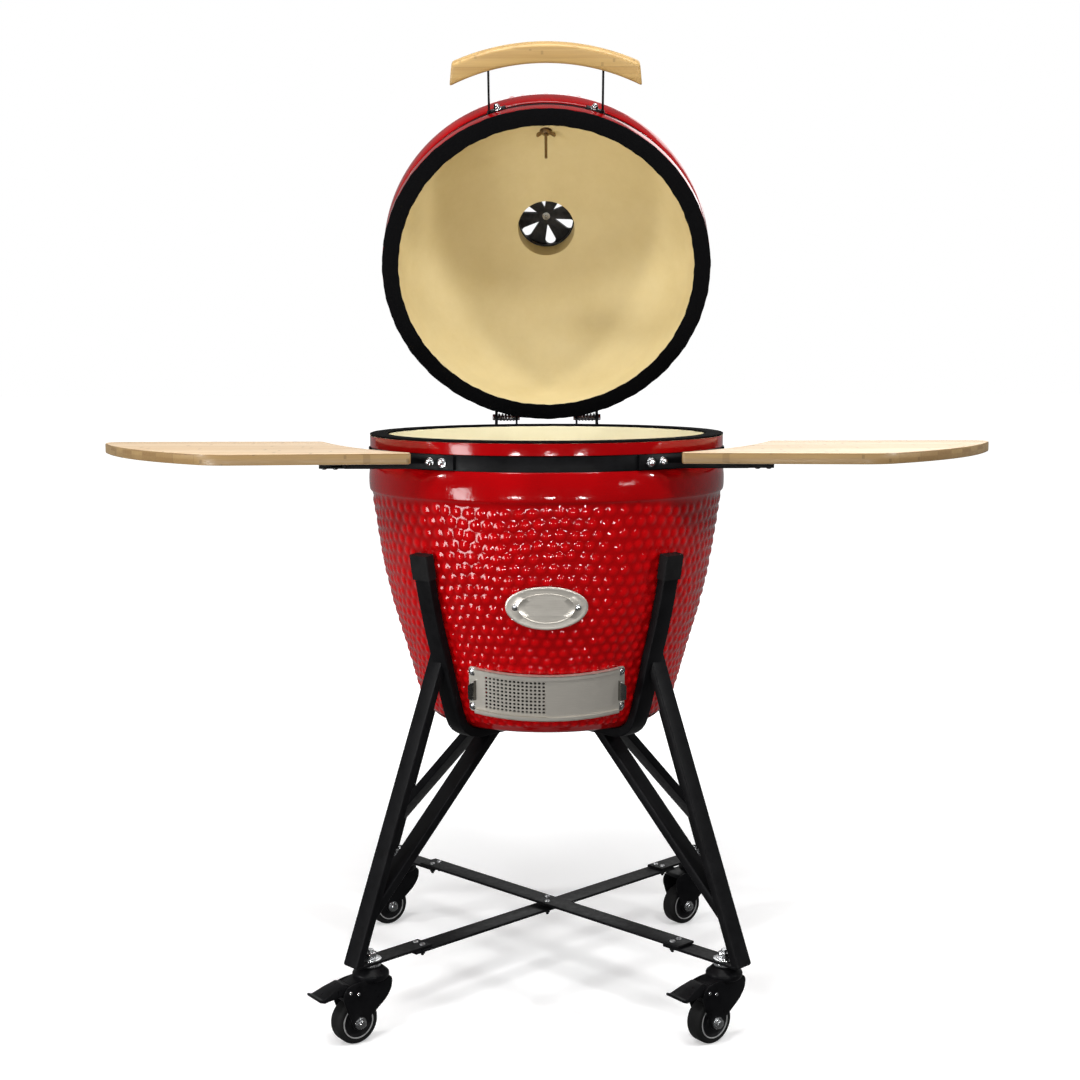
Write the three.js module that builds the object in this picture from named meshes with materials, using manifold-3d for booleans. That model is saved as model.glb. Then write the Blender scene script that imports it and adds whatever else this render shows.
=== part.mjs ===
// Kamado ceramic grill on a wheeled stand, with its lid open and two folding side shelves.
// Millimetres, +Z up, front (draft door) towards -Y. The origin is on the floor in the middle of the
// whole footprint. Inside, everything is placed from the centre of the stand, and moved at the end.
import * as THREE from "three";
import { mergeVertices } from "three/addons/utils/BufferGeometryUtils.js";
import Module from "manifold-3d";

const wasm = await Module();
wasm.setup();

// Driving dimensions.
const GAP = 0.3; // left between touching pieces
const AROUND = 36; // facets round the ceramic body

const RIM_Z = 861.5; // plane where the two gaskets meet when the lid is shut
const RIM_R = 270;
const RIM_INNER_R = 243;
const GASKET_T = 2.8;
const STRAP_R = 268;
const STRAP_GROOVE_R = 265;
const STRAP_FROM_RIM = [20.5, 43.5]; // the strap's two edges, measured from the rim plane
const BULGE_R = 272;
const BOWL_BOTTOM_Z = 426;
const BOWL_FLOOR_Z = 456;
const DIMPLE_CLEARANCE = 2.4; // room for the glaze's dimples

const LID_OPEN = THREE.MathUtils.degToRad(66.3);
const HINGE_Y = 298.5;
const HINGE_Z = 826;
const DOME_CENTRE_H = 70; // heights in the lid are measured from the rim plane, along the lid's axis
const DOME_RISE = 168;
const DOME_INNER_CENTRE_H = 45;
const DOME_INNER_RISE = 163;
const CHIMNEY_R = 49.5;
const NECK_R = 62;
const NECK_TOP_H = 248;

const THERMOMETER_TILT = THREE.MathUtils.degToRad(49);
const THERMOMETER_R = 215;
const THERMOMETER_H = 172;

const HANDLE_R = 350;
const HANDLE_H = 31;
const HANDLE_SPREAD = THREE.MathUtils.degToRad(25.2);
const HANDLE_END_SLANT = THREE.MathUtils.degToRad(6.5); // the ends lean in towards the outer edge
const PLATE_X = 90;

const DOOR_TILT = THREE.MathUtils.degToRad(15.6);
const DOOR_R = 212;
const DOOR_FRONT_R = 204;
const DOOR_Z = 489;
const FRAME_HALF_H = 36;
const FRAME_SPREAD = THREE.MathUtils.degToRad(31.8);

const FOOTPRINT_MIDDLE_Y = 84.6; // the open lid reaches further back than anything reaches forward

const BOARD_BOTTOM = 828;
const BOARD_T = 16;
const SHELF_PIVOT_X = 284;
const SHELF_PIVOT_Z = 824;
const ARM_T = 7.4;

const CRADLE_AZIMUTH = THREE.MathUtils.degToRad(42.5); // from the Y axis
const CRADLE_TOP = 695;
const STOCK_W = 30;
const STOCK_T = 14;
const FOOT = [276, 276, 116];
const JUNCTION = [157, 158, 540];
const STRUT_TOP = [83.4, 83.4, 417.9]; // under the bowl
const STRUT_END = [257.2, 257.2, 183.3]; // on the leg, above its foot
const FOOT_PLATE_Z = 112;
const CASTER_XY = 254.5;

const WHEEL_R = 33;
const WHEEL_W = 26;
const TRAIL = 28.6;
const TRAIL_ANGLE = THREE.MathUtils.degToRad(216.5); // direction the wheels trail in
const FORK_GAP = 15.5;

const looks = {
  glaze: { color: 0xb00a10, roughness: 0.15, metalness: 0 },
  bare_ceramic: { color: 0xcdbb8a, roughness: 0.9, metalness: 0 },
  felt: { color: 0x141414, roughness: 1, metalness: 0 },
  black_steel: { color: 0x17171a, roughness: 0.45, metalness: 0.2 },
  cast_iron: { color: 0x1c1c1d, roughness: 0.7, metalness: 0.3 },
  stainless: { color: 0xb5b2aa, roughness: 0.3, metalness: 1 },
  bamboo: { color: 0xe0bd8a, roughness: 0.5, metalness: 0 },
  spring_steel: { color: 0x8d8d90, roughness: 0.35, metalness: 1 },
  zinc: { color: 0xb9babd, roughness: 0.35, metalness: 1 },
  rubber: { color: 0x1b1b1c, roughness: 0.8, metalness: 0 },
};

// ---- Tools for solids ----

function solid(geometry) {
  const bare = geometry.clone();
  bare.deleteAttribute("normal");
  bare.deleteAttribute("uv");
  const merged = mergeVertices(bare, 1e-3);
  return new wasm.Manifold(
    new wasm.Mesh({
      numProp: 3,
      vertProperties: merged.attributes.position.array,
      triVerts: new Uint32Array(merged.index.array),
    }),
  );
}

function geometryOf(made) {
  const mesh = made.getMesh();
  const geometry = new THREE.BufferGeometry();
  geometry.setAttribute("position", new THREE.BufferAttribute(mesh.vertProperties, 3));
  geometry.setIndex(new THREE.BufferAttribute(mesh.triVerts, 1));
  return geometry;
}

function join(...geometries) {
  return geometryOf(geometries.map(solid).reduce((sum, next) => sum.add(next)));
}

function cut(geometry, ...tools) {
  return geometryOf(tools.map(solid).reduce((rest, tool) => rest.subtract(tool), solid(geometry)));
}

function piece(name, look, geometry) {
  const flat = geometry.index ? geometry.toNonIndexed() : geometry;
  flat.computeVertexNormals();
  const mesh = new THREE.Mesh(flat, new THREE.MeshStandardMaterial(looks[look]));
  mesh.name = name;
  return mesh;
}

function group(...children) {
  const made = new THREE.Group();
  made.add(...children);
  return made;
}

// A box between two corners.
function block(x0, y0, z0, x1, y1, z1) {
  const made = new THREE.BoxGeometry(x1 - x0, y1 - y0, z1 - z0);
  return made.translate((x0 + x1) / 2, (y0 + y1) / 2, (z0 + z1) / 2);
}

// A closed outline of [radius, height] points spun about Z. An outline that starts and ends on the
// axis closes there, and any other is closed onto its first point.
function spin(outline, facets = AROUND, from = 0, sweep = 2 * Math.PI) {
  const closes = outline[0][0] === 0 && outline[outline.length - 1][0] === 0;
  const points = closes ? outline : [...outline, outline[0]];
  let area = 0;
  for (let i = 0; i < points.length; i++) {
    const [r0, h0] = points[i];
    const [r1, h1] = points[(i + 1) % points.length];
    area += r0 * h1 - r1 * h0;
  }
  const ordered = area > 0 ? points : [...points].reverse();
  const profile = ordered.map(([r, h]) => new THREE.Vector2(r, h));
  const made = new THREE.LatheGeometry(profile, facets, from, sweep);
  return made.rotateX(Math.PI / 2);
}

function ring(inner, outer, low, high, facets = AROUND) {
  return spin([[inner, low], [outer, low], [outer, high], [inner, high]], facets);
}

function cylinder(radius, low, high, facets = 16) {
  return spin([[0, low], [radius, low], [radius, high], [0, high]], facets);
}

// Part of a ring, from one angle to another, measured from -Y towards +X.
function sector(inner, outer, low, high, fromAngle, toAngle, steps) {
  const shape = new THREE.Shape();
  const at = (radius, angle) => [radius * Math.sin(angle), -radius * Math.cos(angle)];
  for (let i = 0; i <= steps; i++) {
    const [x, y] = at(outer, fromAngle + ((toAngle - fromAngle) * i) / steps);
    if (i === 0) shape.moveTo(x, y);
    else shape.lineTo(x, y);
  }
  for (let i = steps; i >= 0; i--) {
    shape.lineTo(...at(inner, fromAngle + ((toAngle - fromAngle) * i) / steps));
  }
  return upright(shape, low, high);
}

// An XY outline raised between two heights.
function upright(shape, low, high, curveSegments = 10) {
  const made = new THREE.ExtrudeGeometry(shape, { depth: high - low, bevelEnabled: false, curveSegments });
  return made.translate(0, 0, low);
}

function polygon(points) {
  return new THREE.Shape(points.map(([x, y]) => new THREE.Vector2(x, y)));
}

// An outline of [distance, height] points made `width` wide, standing on edge along +X.
function onEdge(shape, width, curveSegments = 8) {
  return upright(shape, -width / 2, width / 2, curveSegments).rotateX(Math.PI / 2);
}

// A straight bar between two points. Its width is level, across its own direction.
function bar(from, to, width, thickness) {
  const start = new THREE.Vector3(...from);
  const end = new THREE.Vector3(...to);
  const along = end.clone().sub(start);
  const made = new THREE.BoxGeometry(along.length(), width, thickness);
  const x = along.normalize();
  const y = new THREE.Vector3(0, 0, 1).cross(x).normalize();
  const z = x.clone().cross(y);
  made.applyMatrix4(new THREE.Matrix4().makeBasis(x, y, z));
  return made.translate((start.x + end.x) / 2, (start.y + end.y) / 2, (start.z + end.z) / 2);
}

// ---- Ceramic bowl and what it holds ----

const bowlSide = new THREE.SplineCurve(
  [[150, 426], [178, 434], [193, 455], [217, 537], [236, 603], [250, 665], [260, 727], [266, 768]].map(
    ([r, z]) => new THREE.Vector2(r, z),
  ),
).getPoints(9);

// The bowl's side moved outwards by a distance, as [radius, height] points.
function besideBowl(distance) {
  return bowlSide.map((point, i) => {
    const before = bowlSide[Math.max(i - 1, 0)];
    const after = bowlSide[Math.min(i + 1, bowlSide.length - 1)];
    const out = new THREE.Vector2(after.y - before.y, before.x - after.x).normalize();
    return [point.x + out.x * distance, point.y + out.y * distance];
  });
}

const strapLow = RIM_Z - STRAP_FROM_RIM[1];
const strapHigh = RIM_Z - STRAP_FROM_RIM[0];
const bowlTop = RIM_Z - GAP - GASKET_T - GAP;

// The space the bowl and its strap take, with clearance, for trimming the metalwork round them.
const bowlRoom = spin([
  [0, BOWL_BOTTOM_Z - GAP],
  ...besideBowl(DIMPLE_CLEARANCE),
  [BULGE_R + 0.6, 778],
  [BULGE_R + 0.6, strapLow + GAP],
  [STRAP_R + GAP, strapLow + GAP],
  [STRAP_R + GAP, strapHigh - GAP],
  [RIM_R + 0.6, strapHigh - GAP],
  [RIM_R + 0.6, RIM_Z],
  [0, RIM_Z],
]);

function baseBowl() {
  const outer = [
    [0, BOWL_BOTTOM_Z],
    ...bowlSide.map((point) => [point.x, point.y]),
    [BULGE_R - 1, 781],
    [BULGE_R, 792],
    [BULGE_R - 1, 806],
    [RIM_R - 2, strapLow],
    [STRAP_GROOVE_R, strapLow],
    [STRAP_GROOVE_R, strapHigh],
    [RIM_R, strapHigh],
    [RIM_R, bowlTop],
  ];
  const inner = [
    [RIM_INNER_R, bowlTop],
    [RIM_INNER_R, 800],
    [237, 745],
    [222, 665],
    [205, 590],
    [187, 522],
    [170, 484],
    [142, BOWL_FLOOR_Z],
    [0, BOWL_FLOOR_Z],
  ];
  const draftHole = block(-88, -260, 463, 88, -120, 515);
  return cut(spin([...outer, ...inner]), draftHole);
}

function fireBox() {
  const shell = spin([
    [134, BOWL_FLOOR_Z + GAP],
    [158, 482],
    [172, 520],
    [199, 640],
    [179, 640],
    [156, 540],
    [122, 540],
    [122, 528],
    [134, 520],
    [122, BOWL_FLOOR_Z + GAP],
  ], 24);
  return cut(shell, block(-62, -220, 464, 62, -90, 512));
}

function fireRing() {
  return spin([[179, 640 + GAP], [199, 640 + GAP], [225, 812], [205, 812]], 28);
}

function charcoalGrate() {
  const shape = new THREE.Shape();
  shape.absarc(0, 0, 152, 0, 2 * Math.PI);
  for (let row = -3; row <= 3; row++) {
    const half = Math.sqrt(125 * 125 - (row * 34) ** 2);
    const slot = new THREE.Path();
    slot.moveTo(-half, row * 34 - 6);
    slot.lineTo(-half, row * 34 + 6);
    slot.lineTo(half, row * 34 + 6);
    slot.lineTo(half, row * 34 - 6);
    slot.closePath();
    shape.holes.push(slot);
  }
  return upright(shape, 540 + GAP, 549, 12);
}

function cookingGrate() {
  const low = 812 + GAP;
  const high = low + 6;
  const rods = [];
  for (let i = -9; i <= 9; i++) {
    const half = Math.sqrt(219 * 219 - (i * 22) ** 2);
    rods.push(block(i * 22 - 2.5, -half, low + 0.5, i * 22 + 2.5, half, high - 0.5));
  }
  return join(ring(214, 222, low, high, 28), ...rods);
}

// ---- Draft doors: cylindrical sheets on an axis that leans with the bowl's front ----

// A sheet at a distance in front of the bowl, from one angle to another.
function sheet(offset, thickness, halfHeight, fromAngle, toAngle, steps = 8) {
  const inner = DOOR_R + offset;
  return sector(inner, inner + thickness, -halfHeight, halfHeight, fromAngle, toAngle, steps);
}

function draftFrame() {
  const window = sector(DOOR_R - 4, DOOR_R + 12, -25, 25, -0.455, 0.455, 8);
  const plate = cut(sheet(1.5, 1.5, FRAME_HALF_H, -FRAME_SPREAD, FRAME_SPREAD), window);
  const rails = [-1, 1].map((side) => {
    const edge = side * FRAME_HALF_H;
    const [low, high] = side > 0 ? [edge - 2, edge] : [edge, edge + 2];
    const web = sector(DOOR_R + 1.5, DOOR_R + 8.6, low, high, -FRAME_SPREAD, FRAME_SPREAD, 8);
    const [lipLow, lipHigh] = side > 0 ? [edge - 6, edge] : [edge, edge + 6];
    const lip = sector(DOOR_R + 7.4, DOOR_R + 8.6, lipLow, lipHigh, -FRAME_SPREAD, FRAME_SPREAD, 8);
    return join(web, lip);
  });
  return join(plate, ...rails);
}

function slidingDoor(offset, fromAngle, toAngle, tabAngle) {
  const panel = sheet(offset, 1.2, FRAME_HALF_H - 2.6, fromAngle, toAngle, 6);
  const tab = sector(DOOR_R + offset, DOOR_R + 20, -14, 14, tabAngle - 0.006, tabAngle + 0.006, 1);
  return join(panel, tab);
}

function badgePlate() {
  const shape = new THREE.Shape();
  shape.absellipse(0, 0, 59, 32.5, 0, 2 * Math.PI);
  const prism = upright(shape, -20, 20, 12).rotateX(Math.PI / 2).translate(0, -249, 0);
  const shell = sector(249 + DIMPLE_CLEARANCE, 251 + DIMPLE_CLEARANCE, -40, 40, -0.4, 0.4, 10);
  return geometryOf(solid(shell).intersect(solid(prism)));
}

// ---- Lid, in its own frame: origin at the centre of the rim plane, +Z along its axis ----

// The space the lid's rim takes, with clearance, for trimming the metalwork round it.
const lidRoom = spin([
  [0, 0],
  [RIM_R + 0.6, 0],
  [RIM_R + 0.6, STRAP_FROM_RIM[0] + GAP],
  [STRAP_R + GAP, STRAP_FROM_RIM[0] + GAP],
  [STRAP_R + GAP, STRAP_FROM_RIM[1] - GAP],
  [BULGE_R + 0.6, STRAP_FROM_RIM[1] - GAP],
  [BULGE_R + 0.6, 90],
  [0, 90],
]);

function domeArc(rimR, centre, rise, endR, steps) {
  const endAngle = Math.acos(endR / rimR);
  const points = [];
  for (let i = 0; i <= steps; i++) {
    const angle = (endAngle * i) / steps;
    points.push([rimR * Math.cos(angle), centre + rise * Math.sin(angle)]);
  }
  return points;
}

function lidDome() {
  const start = GAP + GASKET_T + GAP;
  const outer = [
    [RIM_R, start],
    [RIM_R, STRAP_FROM_RIM[0]],
    [STRAP_GROOVE_R, STRAP_FROM_RIM[0]],
    [STRAP_GROOVE_R, STRAP_FROM_RIM[1]],
    [RIM_R - 2, STRAP_FROM_RIM[1]],
    [BULGE_R - 1, 56],
    [BULGE_R, 68],
    [BULGE_R - 1, 79],
    ...domeArc(RIM_R, DOME_CENTRE_H, DOME_RISE, 70, 9).slice(2),
    [NECK_R, 236],
    [NECK_R, NECK_TOP_H],
  ];
  const inner = [
    [CHIMNEY_R, NECK_TOP_H],
    ...domeArc(RIM_INNER_R, DOME_INNER_CENTRE_H, DOME_INNER_RISE, CHIMNEY_R, 7).reverse(),
    [RIM_INNER_R, start],
  ];
  return cut(spin([...outer, ...inner]), onThermometer(cylinder(4, -60, 20, 10)));
}

// Moves a geometry made along +Z onto the thermometer's axis. Z = 0 is the dome's surface.
function onThermometer(geometry) {
  return geometry
    .rotateX(Math.PI / 2 - THERMOMETER_TILT)
    .translate(0, -THERMOMETER_R, THERMOMETER_H);
}

function thermometerCase() {
  return spin([
    [0, -88],
    [2.2, -88],
    [3, -20],
    [3, 0.8],
    [9, 0.8],
    [9, 3],
    [24, 3],
    [24, 13],
    [21, 13],
    [21, 8.5],
    [0, 8.5],
  ], 18);
}

function thermometerNeedle() {
  const shape = polygon([[-6, -1], [17, -0.4], [17, 0.4], [-6, 1]]);
  return join(upright(shape, 9.4, 10.4), cylinder(2.4, 8.9, 11, 10));
}

function thermometerNut() {
  const wing = block(6, -1.2, -48, 15, 1.2, -38.5);
  const otherWing = block(-15, -1.2, -48, -6, 1.2, -38.5);
  return join(ring(3.4, 7.5, -43, -37, 12), wing, otherWing);
}

function handlePlate(side) {
  const x = side * PLATE_X;
  const strapY = -Math.sqrt(STRAP_R ** 2 - PLATE_X ** 2);
  const web = block(x - 1.5, -352, HANDLE_H - 10, x + 1.5, strapY + 8, HANDLE_H + 10);
  const low = STRAP_FROM_RIM[0] + 1;
  const high = STRAP_FROM_RIM[1] - 1;
  const footAngles = [Math.asin((side > 0 ? 64 : -93) / 270), Math.asin((side > 0 ? 93 : -64) / 270)];
  const foot = sector(STRAP_R + GAP, STRAP_R + 3.3, low, high, ...footAngles, 4);
  return cut(join(web, foot), lidRoom);
}

function lidHandle() {
  const rough = HANDLE_SPREAD + 0.05;
  const handle = sector(
    HANDLE_R - 15, HANDLE_R + 15, HANDLE_H - 12, HANDLE_H + 12, -rough, rough, 12,
  );
  const slots = [-1, 1].map((side) => {
    const x = side * PLATE_X;
    return block(x - 1.8, -352.4, HANDLE_H - 13, x + 1.8, -300, HANDLE_H + 13);
  });
  const ends = [-1, 1].map((side) => {
    const x = side * HANDLE_R * Math.sin(HANDLE_SPREAD);
    const y = -HANDLE_R * Math.cos(HANDLE_SPREAD);
    const cutter = block(-30, -80, -20, 30, 80, 20).translate(side * 30, 0, 0);
    return cutter.rotateZ(-side * HANDLE_END_SLANT).translate(x, y, HANDLE_H);
  });
  return cut(handle, ...slots, ...ends);
}

// ---- Top vent, in the lid's frame ----

const VENT_TOP_H = 267;
const VENT_PIVOT_X = -77;
const SLIDE_H = [VENT_TOP_H + GAP, VENT_TOP_H + 5];
const DAISY_H = [VENT_TOP_H + 5.5, VENT_TOP_H + 9.5];
const SCREW_HEAD_R = 7;
const SCREW_HEAD_T = 1.8;

function ventCollar() {
  const body = spin([
    [NECK_R + 0.8, 240],
    [71, 240],
    [71, VENT_TOP_H],
    [58, VENT_TOP_H],
    [58, 256],
    [47.5, 256],
    [47.5, NECK_TOP_H + 0.8],
    [NECK_R + 0.8, NECK_TOP_H + 0.8],
  ], 24);
  const boss = cylinder(10, 246, VENT_TOP_H).translate(VENT_PIVOT_X, 0, 0);
  const pin = cylinder(3, 255, DAISY_H[1]).translate(VENT_PIVOT_X, 0, 0);
  return join(body, cut(boss, cylinder(60, 200, 300, 32)), pin);
}

// A disc with a centre hole and six drop-shaped openings, wide at the outer end.
function ventDisc(radius, low, high) {
  const drops = [];
  for (let i = 0; i < 6; i++) {
    const angle = ((i * 60 + 20) * Math.PI) / 180;
    const drop = new THREE.Shape();
    drop.absarc(38 * Math.cos(angle), 38 * Math.sin(angle), 10, angle - 1.75, angle + 1.75);
    drop.lineTo(15 * Math.cos(angle), 15 * Math.sin(angle));
    drops.push(upright(drop, low - 1, high + 1, 4));
  }
  return cut(cylinder(radius, low, high, 28), cylinder(4.5, low - 1, high + 1, 8), ...drops);
}

function ventSlide() {
  const disc = ventDisc(68, ...SLIDE_H);
  const lug = ring(3.6, 9, ...SLIDE_H, 16).translate(VENT_PIVOT_X, 0, 0);
  const neck = block(-75, -7, SLIDE_H[0], -62, 7, SLIDE_H[1]);
  const pinHole = cylinder(3.6, 255, 290).translate(VENT_PIVOT_X, 0, 0);
  const headRecess = cylinder(SCREW_HEAD_R + GAP, 255, SLIDE_H[0] + SCREW_HEAD_T + GAP);
  return cut(join(disc, lug, neck), pinHole, headRecess);
}

function daisyWheel() {
  const grip = block(56, -6, DAISY_H[0], 61, 6, DAISY_H[1] + 12);
  return join(ventDisc(63, ...DAISY_H), grip);
}

// The head is sunk in the slide, so that it clears the collar as the slide swings.
function ventScrew() {
  return spin([
    [0, SLIDE_H[0]],
    [SCREW_HEAD_R, SLIDE_H[0]],
    [SCREW_HEAD_R, SLIDE_H[0] + SCREW_HEAD_T],
    [4, SLIDE_H[0] + SCREW_HEAD_T],
    [4, DAISY_H[1] + 0.4],
    [9, DAISY_H[1] + 0.4],
    [8, DAISY_H[1] + 6],
    [0, DAISY_H[1] + 8],
  ], 12);
}

// ---- Lid hinge ----

const EAR_X = 57.5;
const LID_EAR_X = 87;

// An ear standing in the YZ plane at x, from an outline of [y, z] points, with a hole for the pin.
function ear(x, thickness, outline) {
  const plate = upright(polygon(outline), -thickness / 2, thickness / 2);
  plate.rotateY(Math.PI / 2).rotateX(Math.PI / 2).translate(x, 0, 0);
  const hole = cylinder(5.5, -200, 200, 10).rotateY(Math.PI / 2).translate(0, HINGE_Y, HINGE_Z);
  return cut(plate, hole);
}

function hingeBaseBracket() {
  const back = sector(STRAP_R + GAP, STRAP_R + 4.3, strapLow + 1, strapHigh - 1, 2.78, 3.503, 6);
  const outline = [[255, 818], [268, 806], [290, 806], [308, 818], [310, 832], [300, 839], [255, 840]];
  const ears = [-EAR_X, EAR_X].map((x) => ear(x, 4, outline));
  const brace = block(-EAR_X, 276, 807, EAR_X, 284, 811);
  return cut(join(back, ...ears, brace), bowlRoom);
}

function hingeLidBracket() {
  const zOf = (height) => RIM_Z + height;
  const back = sector(STRAP_R + GAP, STRAP_R + 4.3, zOf(21.5), zOf(42.5), 2.72, 3.563, 8);
  const outline = [[250, zOf(21.5)], [272, 858], [288, 818], [300, 814], [311, 822], [311, 850], [290, zOf(42.5)],
    [250, zOf(42.5)]];
  const ears = [-LID_EAR_X, LID_EAR_X].map((x) => ear(x, 4, outline));
  const brace = block(-LID_EAR_X, 283, zOf(30), LID_EAR_X, 287, zOf(42.5));
  return cut(join(back, ...ears, brace), lidRoom.clone().translate(0, 0, RIM_Z));
}

function hingePin() {
  const head = cylinder(9, 92.2, 98, 6);
  const nut = cylinder(9, -98, -92.2, 6);
  return join(cylinder(5, -95, 95, 10), head, nut).rotateY(Math.PI / 2);
}

function hingeSpring() {
  return ring(6.5, 10.5, -11, 11, 16).rotateY(Math.PI / 2);
}

// ---- Side shelves: the right one, and the left one as its mirror image ----

const FRONT_ARM_Y = -205;
const REAR_ARM_Y = -8;

function boardShape() {
  const shape = new THREE.Shape();
  shape.moveTo(196, -240);
  shape.lineTo(440, -262);
  shape.quadraticCurveTo(472, -263, 492, -246);
  shape.quadraticCurveTo(628, -142, 686, 24);
  shape.quadraticCurveTo(692, 55, 660, 56);
  shape.lineTo(358, 56);
  shape.quadraticCurveTo(350, 54, 345, 40);
  shape.quadraticCurveTo(284, -140, 192, -228);
  shape.quadraticCurveTo(187, -238, 196, -240);
  return shape;
}

function shelfArm(y, innerX, outerX) {
  const low = SHELF_PIVOT_Z - ARM_T / 2;
  const high = SHELF_PIVOT_Z + ARM_T / 2;
  const strip = block(innerX, y - 12, low, outerX, y + 12, high);
  const hole = cylinder(2.7, -14, 14, 8).rotateX(Math.PI / 2);
  return cut(strip, hole.translate(SHELF_PIVOT_X, y, SHELF_PIVOT_Z));
}

// Two cheeks that hold an arm's pivot, on a plate that follows the strap.
function shelfMount(y, fromAngle, toAngle) {
  const pad = sector(STRAP_R + GAP, STRAP_R + 4.3, strapLow + 1, strapHigh - 1, fromAngle, toAngle, 4);
  const half = ARM_T / 2;
  const cheeks = [-1, 1].map((side) => {
    const at = y + side * 14.5;
    const strip = block(120, at - 2, SHELF_PIVOT_Z - half, SHELF_PIVOT_X, at + 2, SHELF_PIVOT_Z + half);
    const end = cylinder(half, -2, 2, 10).rotateX(Math.PI / 2).translate(SHELF_PIVOT_X, at, SHELF_PIVOT_Z);
    return join(strip, end);
  });
  const pin = cylinder(2.2, -18.5, 18.5, 8).rotateX(Math.PI / 2);
  return cut(join(pad, ...cheeks, pin.translate(SHELF_PIVOT_X, y, SHELF_PIVOT_Z)), bowlRoom);
}

// Mirrors a geometry in the YZ plane and keeps its faces pointing out.
function mirrored(geometry) {
  const made = (geometry.index ? geometry.toNonIndexed() : geometry.clone()).scale(-1, 1, 1);
  const at = made.attributes.position;
  for (let i = 0; i < at.count; i += 3) {
    const [x, y, z] = [at.getX(i), at.getY(i), at.getZ(i)];
    at.setXYZ(i, at.getX(i + 1), at.getY(i + 1), at.getZ(i + 1));
    at.setXYZ(i + 1, x, y, z);
  }
  return made;
}

function shelfPieces(side) {
  const shaped = (geometry) => (side === "left" ? mirrored(geometry) : geometry);
  const make = (name, look, geometry) => piece(name, look, shaped(geometry));
  return [
    make("shelf_board_" + side, "bamboo", upright(boardShape(), BOARD_BOTTOM, BOARD_BOTTOM + BOARD_T)),
    make("shelf_arm_" + side + "_front", "black_steel", shelfArm(FRONT_ARM_Y, 228, 322)),
    make("shelf_arm_" + side + "_rear", "black_steel", shelfArm(REAR_ARM_Y, 278, 430)),
    make("shelf_mount_" + side + "_front", "black_steel", shelfMount(FRONT_ARM_Y, 0.5, 0.86)),
    make("shelf_mount_" + side + "_rear", "black_steel", shelfMount(REAR_ARM_Y, 1.44, 1.64)),
  ];
}

// ---- Stand ----

// A leg for the corner with the given signs of x and y.
function leg(signX, signY) {
  const inner = besideBowl(DIMPLE_CLEARANCE + GAP).filter(([, z]) => z < CRADLE_TOP);
  const outer = besideBowl(DIMPLE_CLEARANCE + GAP + STOCK_T).filter(([, z]) => z < CRADLE_TOP);
  const top = inner[inner.length - 1][0] + 4;
  const outline = [
    [100, BOWL_BOTTOM_Z - GAP * 2],
    [140, BOWL_BOTTOM_Z - GAP * 2],
    ...inner,
    [top, CRADLE_TOP],
    [top + STOCK_T, CRADLE_TOP],
    ...outer.reverse(),
    [100, BOWL_BOTTOM_Z - STOCK_T],
  ];
  const cradle = onEdge(polygon(outline), STOCK_W);
  cradle.rotateZ(Math.atan2(signY * Math.cos(CRADLE_AZIMUTH), signX * Math.sin(CRADLE_AZIMUTH)));
  const corner = ([x, y, z]) => [x * signX, y * signY, z];
  const tube = bar(corner(JUNCTION), corner(FOOT), STOCK_W, STOCK_T);
  const strut = bar(corner(STRUT_TOP), corner(STRUT_END), STOCK_W, STOCK_T);
  const footPlate = bar(
    corner([182, 182, FOOT_PLATE_Z + 2]), corner([284, 284, FOOT_PLATE_Z + 2]), STOCK_W + 4, 4,
  );
  const x = signX * CASTER_XY;
  const y = signY * CASTER_XY;
  const washer = cylinder(15, FOOT_PLATE_Z - 4.6, FOOT_PLATE_Z + 1, 16).translate(x, y, 0);
  const nut = cylinder(9, FOOT_PLATE_Z + 3, FOOT_PLATE_Z + 12, 6).translate(x, y, 0);
  return cut(
    join(cradle, tube, strut, footPlate, washer, nut),
    bowlRoom,
    block(-400, -400, 0, 400, 400, FOOT_PLATE_Z - 4.7),
  );
}

function crossBar(signX, middleZ) {
  const reach = 204;
  return bar([-signX * reach, -reach, middleZ], [signX * reach, reach, middleZ], 35, 4);
}

// ---- Casters, made with the stem on the Z axis and the wheel trailing along +X ----

function forkCheek(side) {
  const shape = new THREE.Shape();
  shape.moveTo(-20, 92);
  shape.lineTo(-20, 82);
  shape.lineTo(TRAIL - 10, WHEEL_R - 4);
  shape.absarc(TRAIL, WHEEL_R, 10, 1.2 * Math.PI, 2.1 * Math.PI);
  shape.lineTo(54, 72);
  shape.lineTo(50, 84);
  shape.lineTo(22, 92);
  return onEdge(shape, 3, 4).translate(0, side * (FORK_GAP + 1.5), 0);
}

function fork() {
  const race = spin([[0, 88], [22, 88], [26, 93], [26, 98], [18, 106.6], [0, 106.6]], 14);
  const crown = block(-20, -FORK_GAP - 3, 84, 20, FORK_GAP + 3, 92);
  const holes = cylinder(5.5, -30, 30, 8).rotateX(Math.PI / 2).translate(TRAIL, 0, WHEEL_R);
  return cut(join(race, crown, forkCheek(-1), forkCheek(1)), holes);
}

function wheel() {
  const half = WHEEL_W / 2;
  const facets = 24;
  const tread = WHEEL_R / Math.cos(Math.PI / facets);
  const made = spin([
    [5.3, -half],
    [27, -half],
    [tread, -half + 5],
    [tread, half - 5],
    [27, half],
    [5.3, half],
  ], facets);
  // A flat facet faces straight down.
  return made.rotateZ(Math.PI / facets).rotateX(Math.PI / 2).translate(TRAIL, 0, WHEEL_R);
}

function axle() {
  const head = cylinder(8, FORK_GAP + 3.4, FORK_GAP + 9, 6);
  const nut = cylinder(8, -FORK_GAP - 9, -FORK_GAP - 3.4, 6);
  const shaft = cylinder(4.9, -FORK_GAP - 5, FORK_GAP + 5, 12);
  return join(shaft, head, nut).rotateX(Math.PI / 2).translate(TRAIL, 0, WHEEL_R);
}

const PEDAL_PIVOT = [40, 78];

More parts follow.
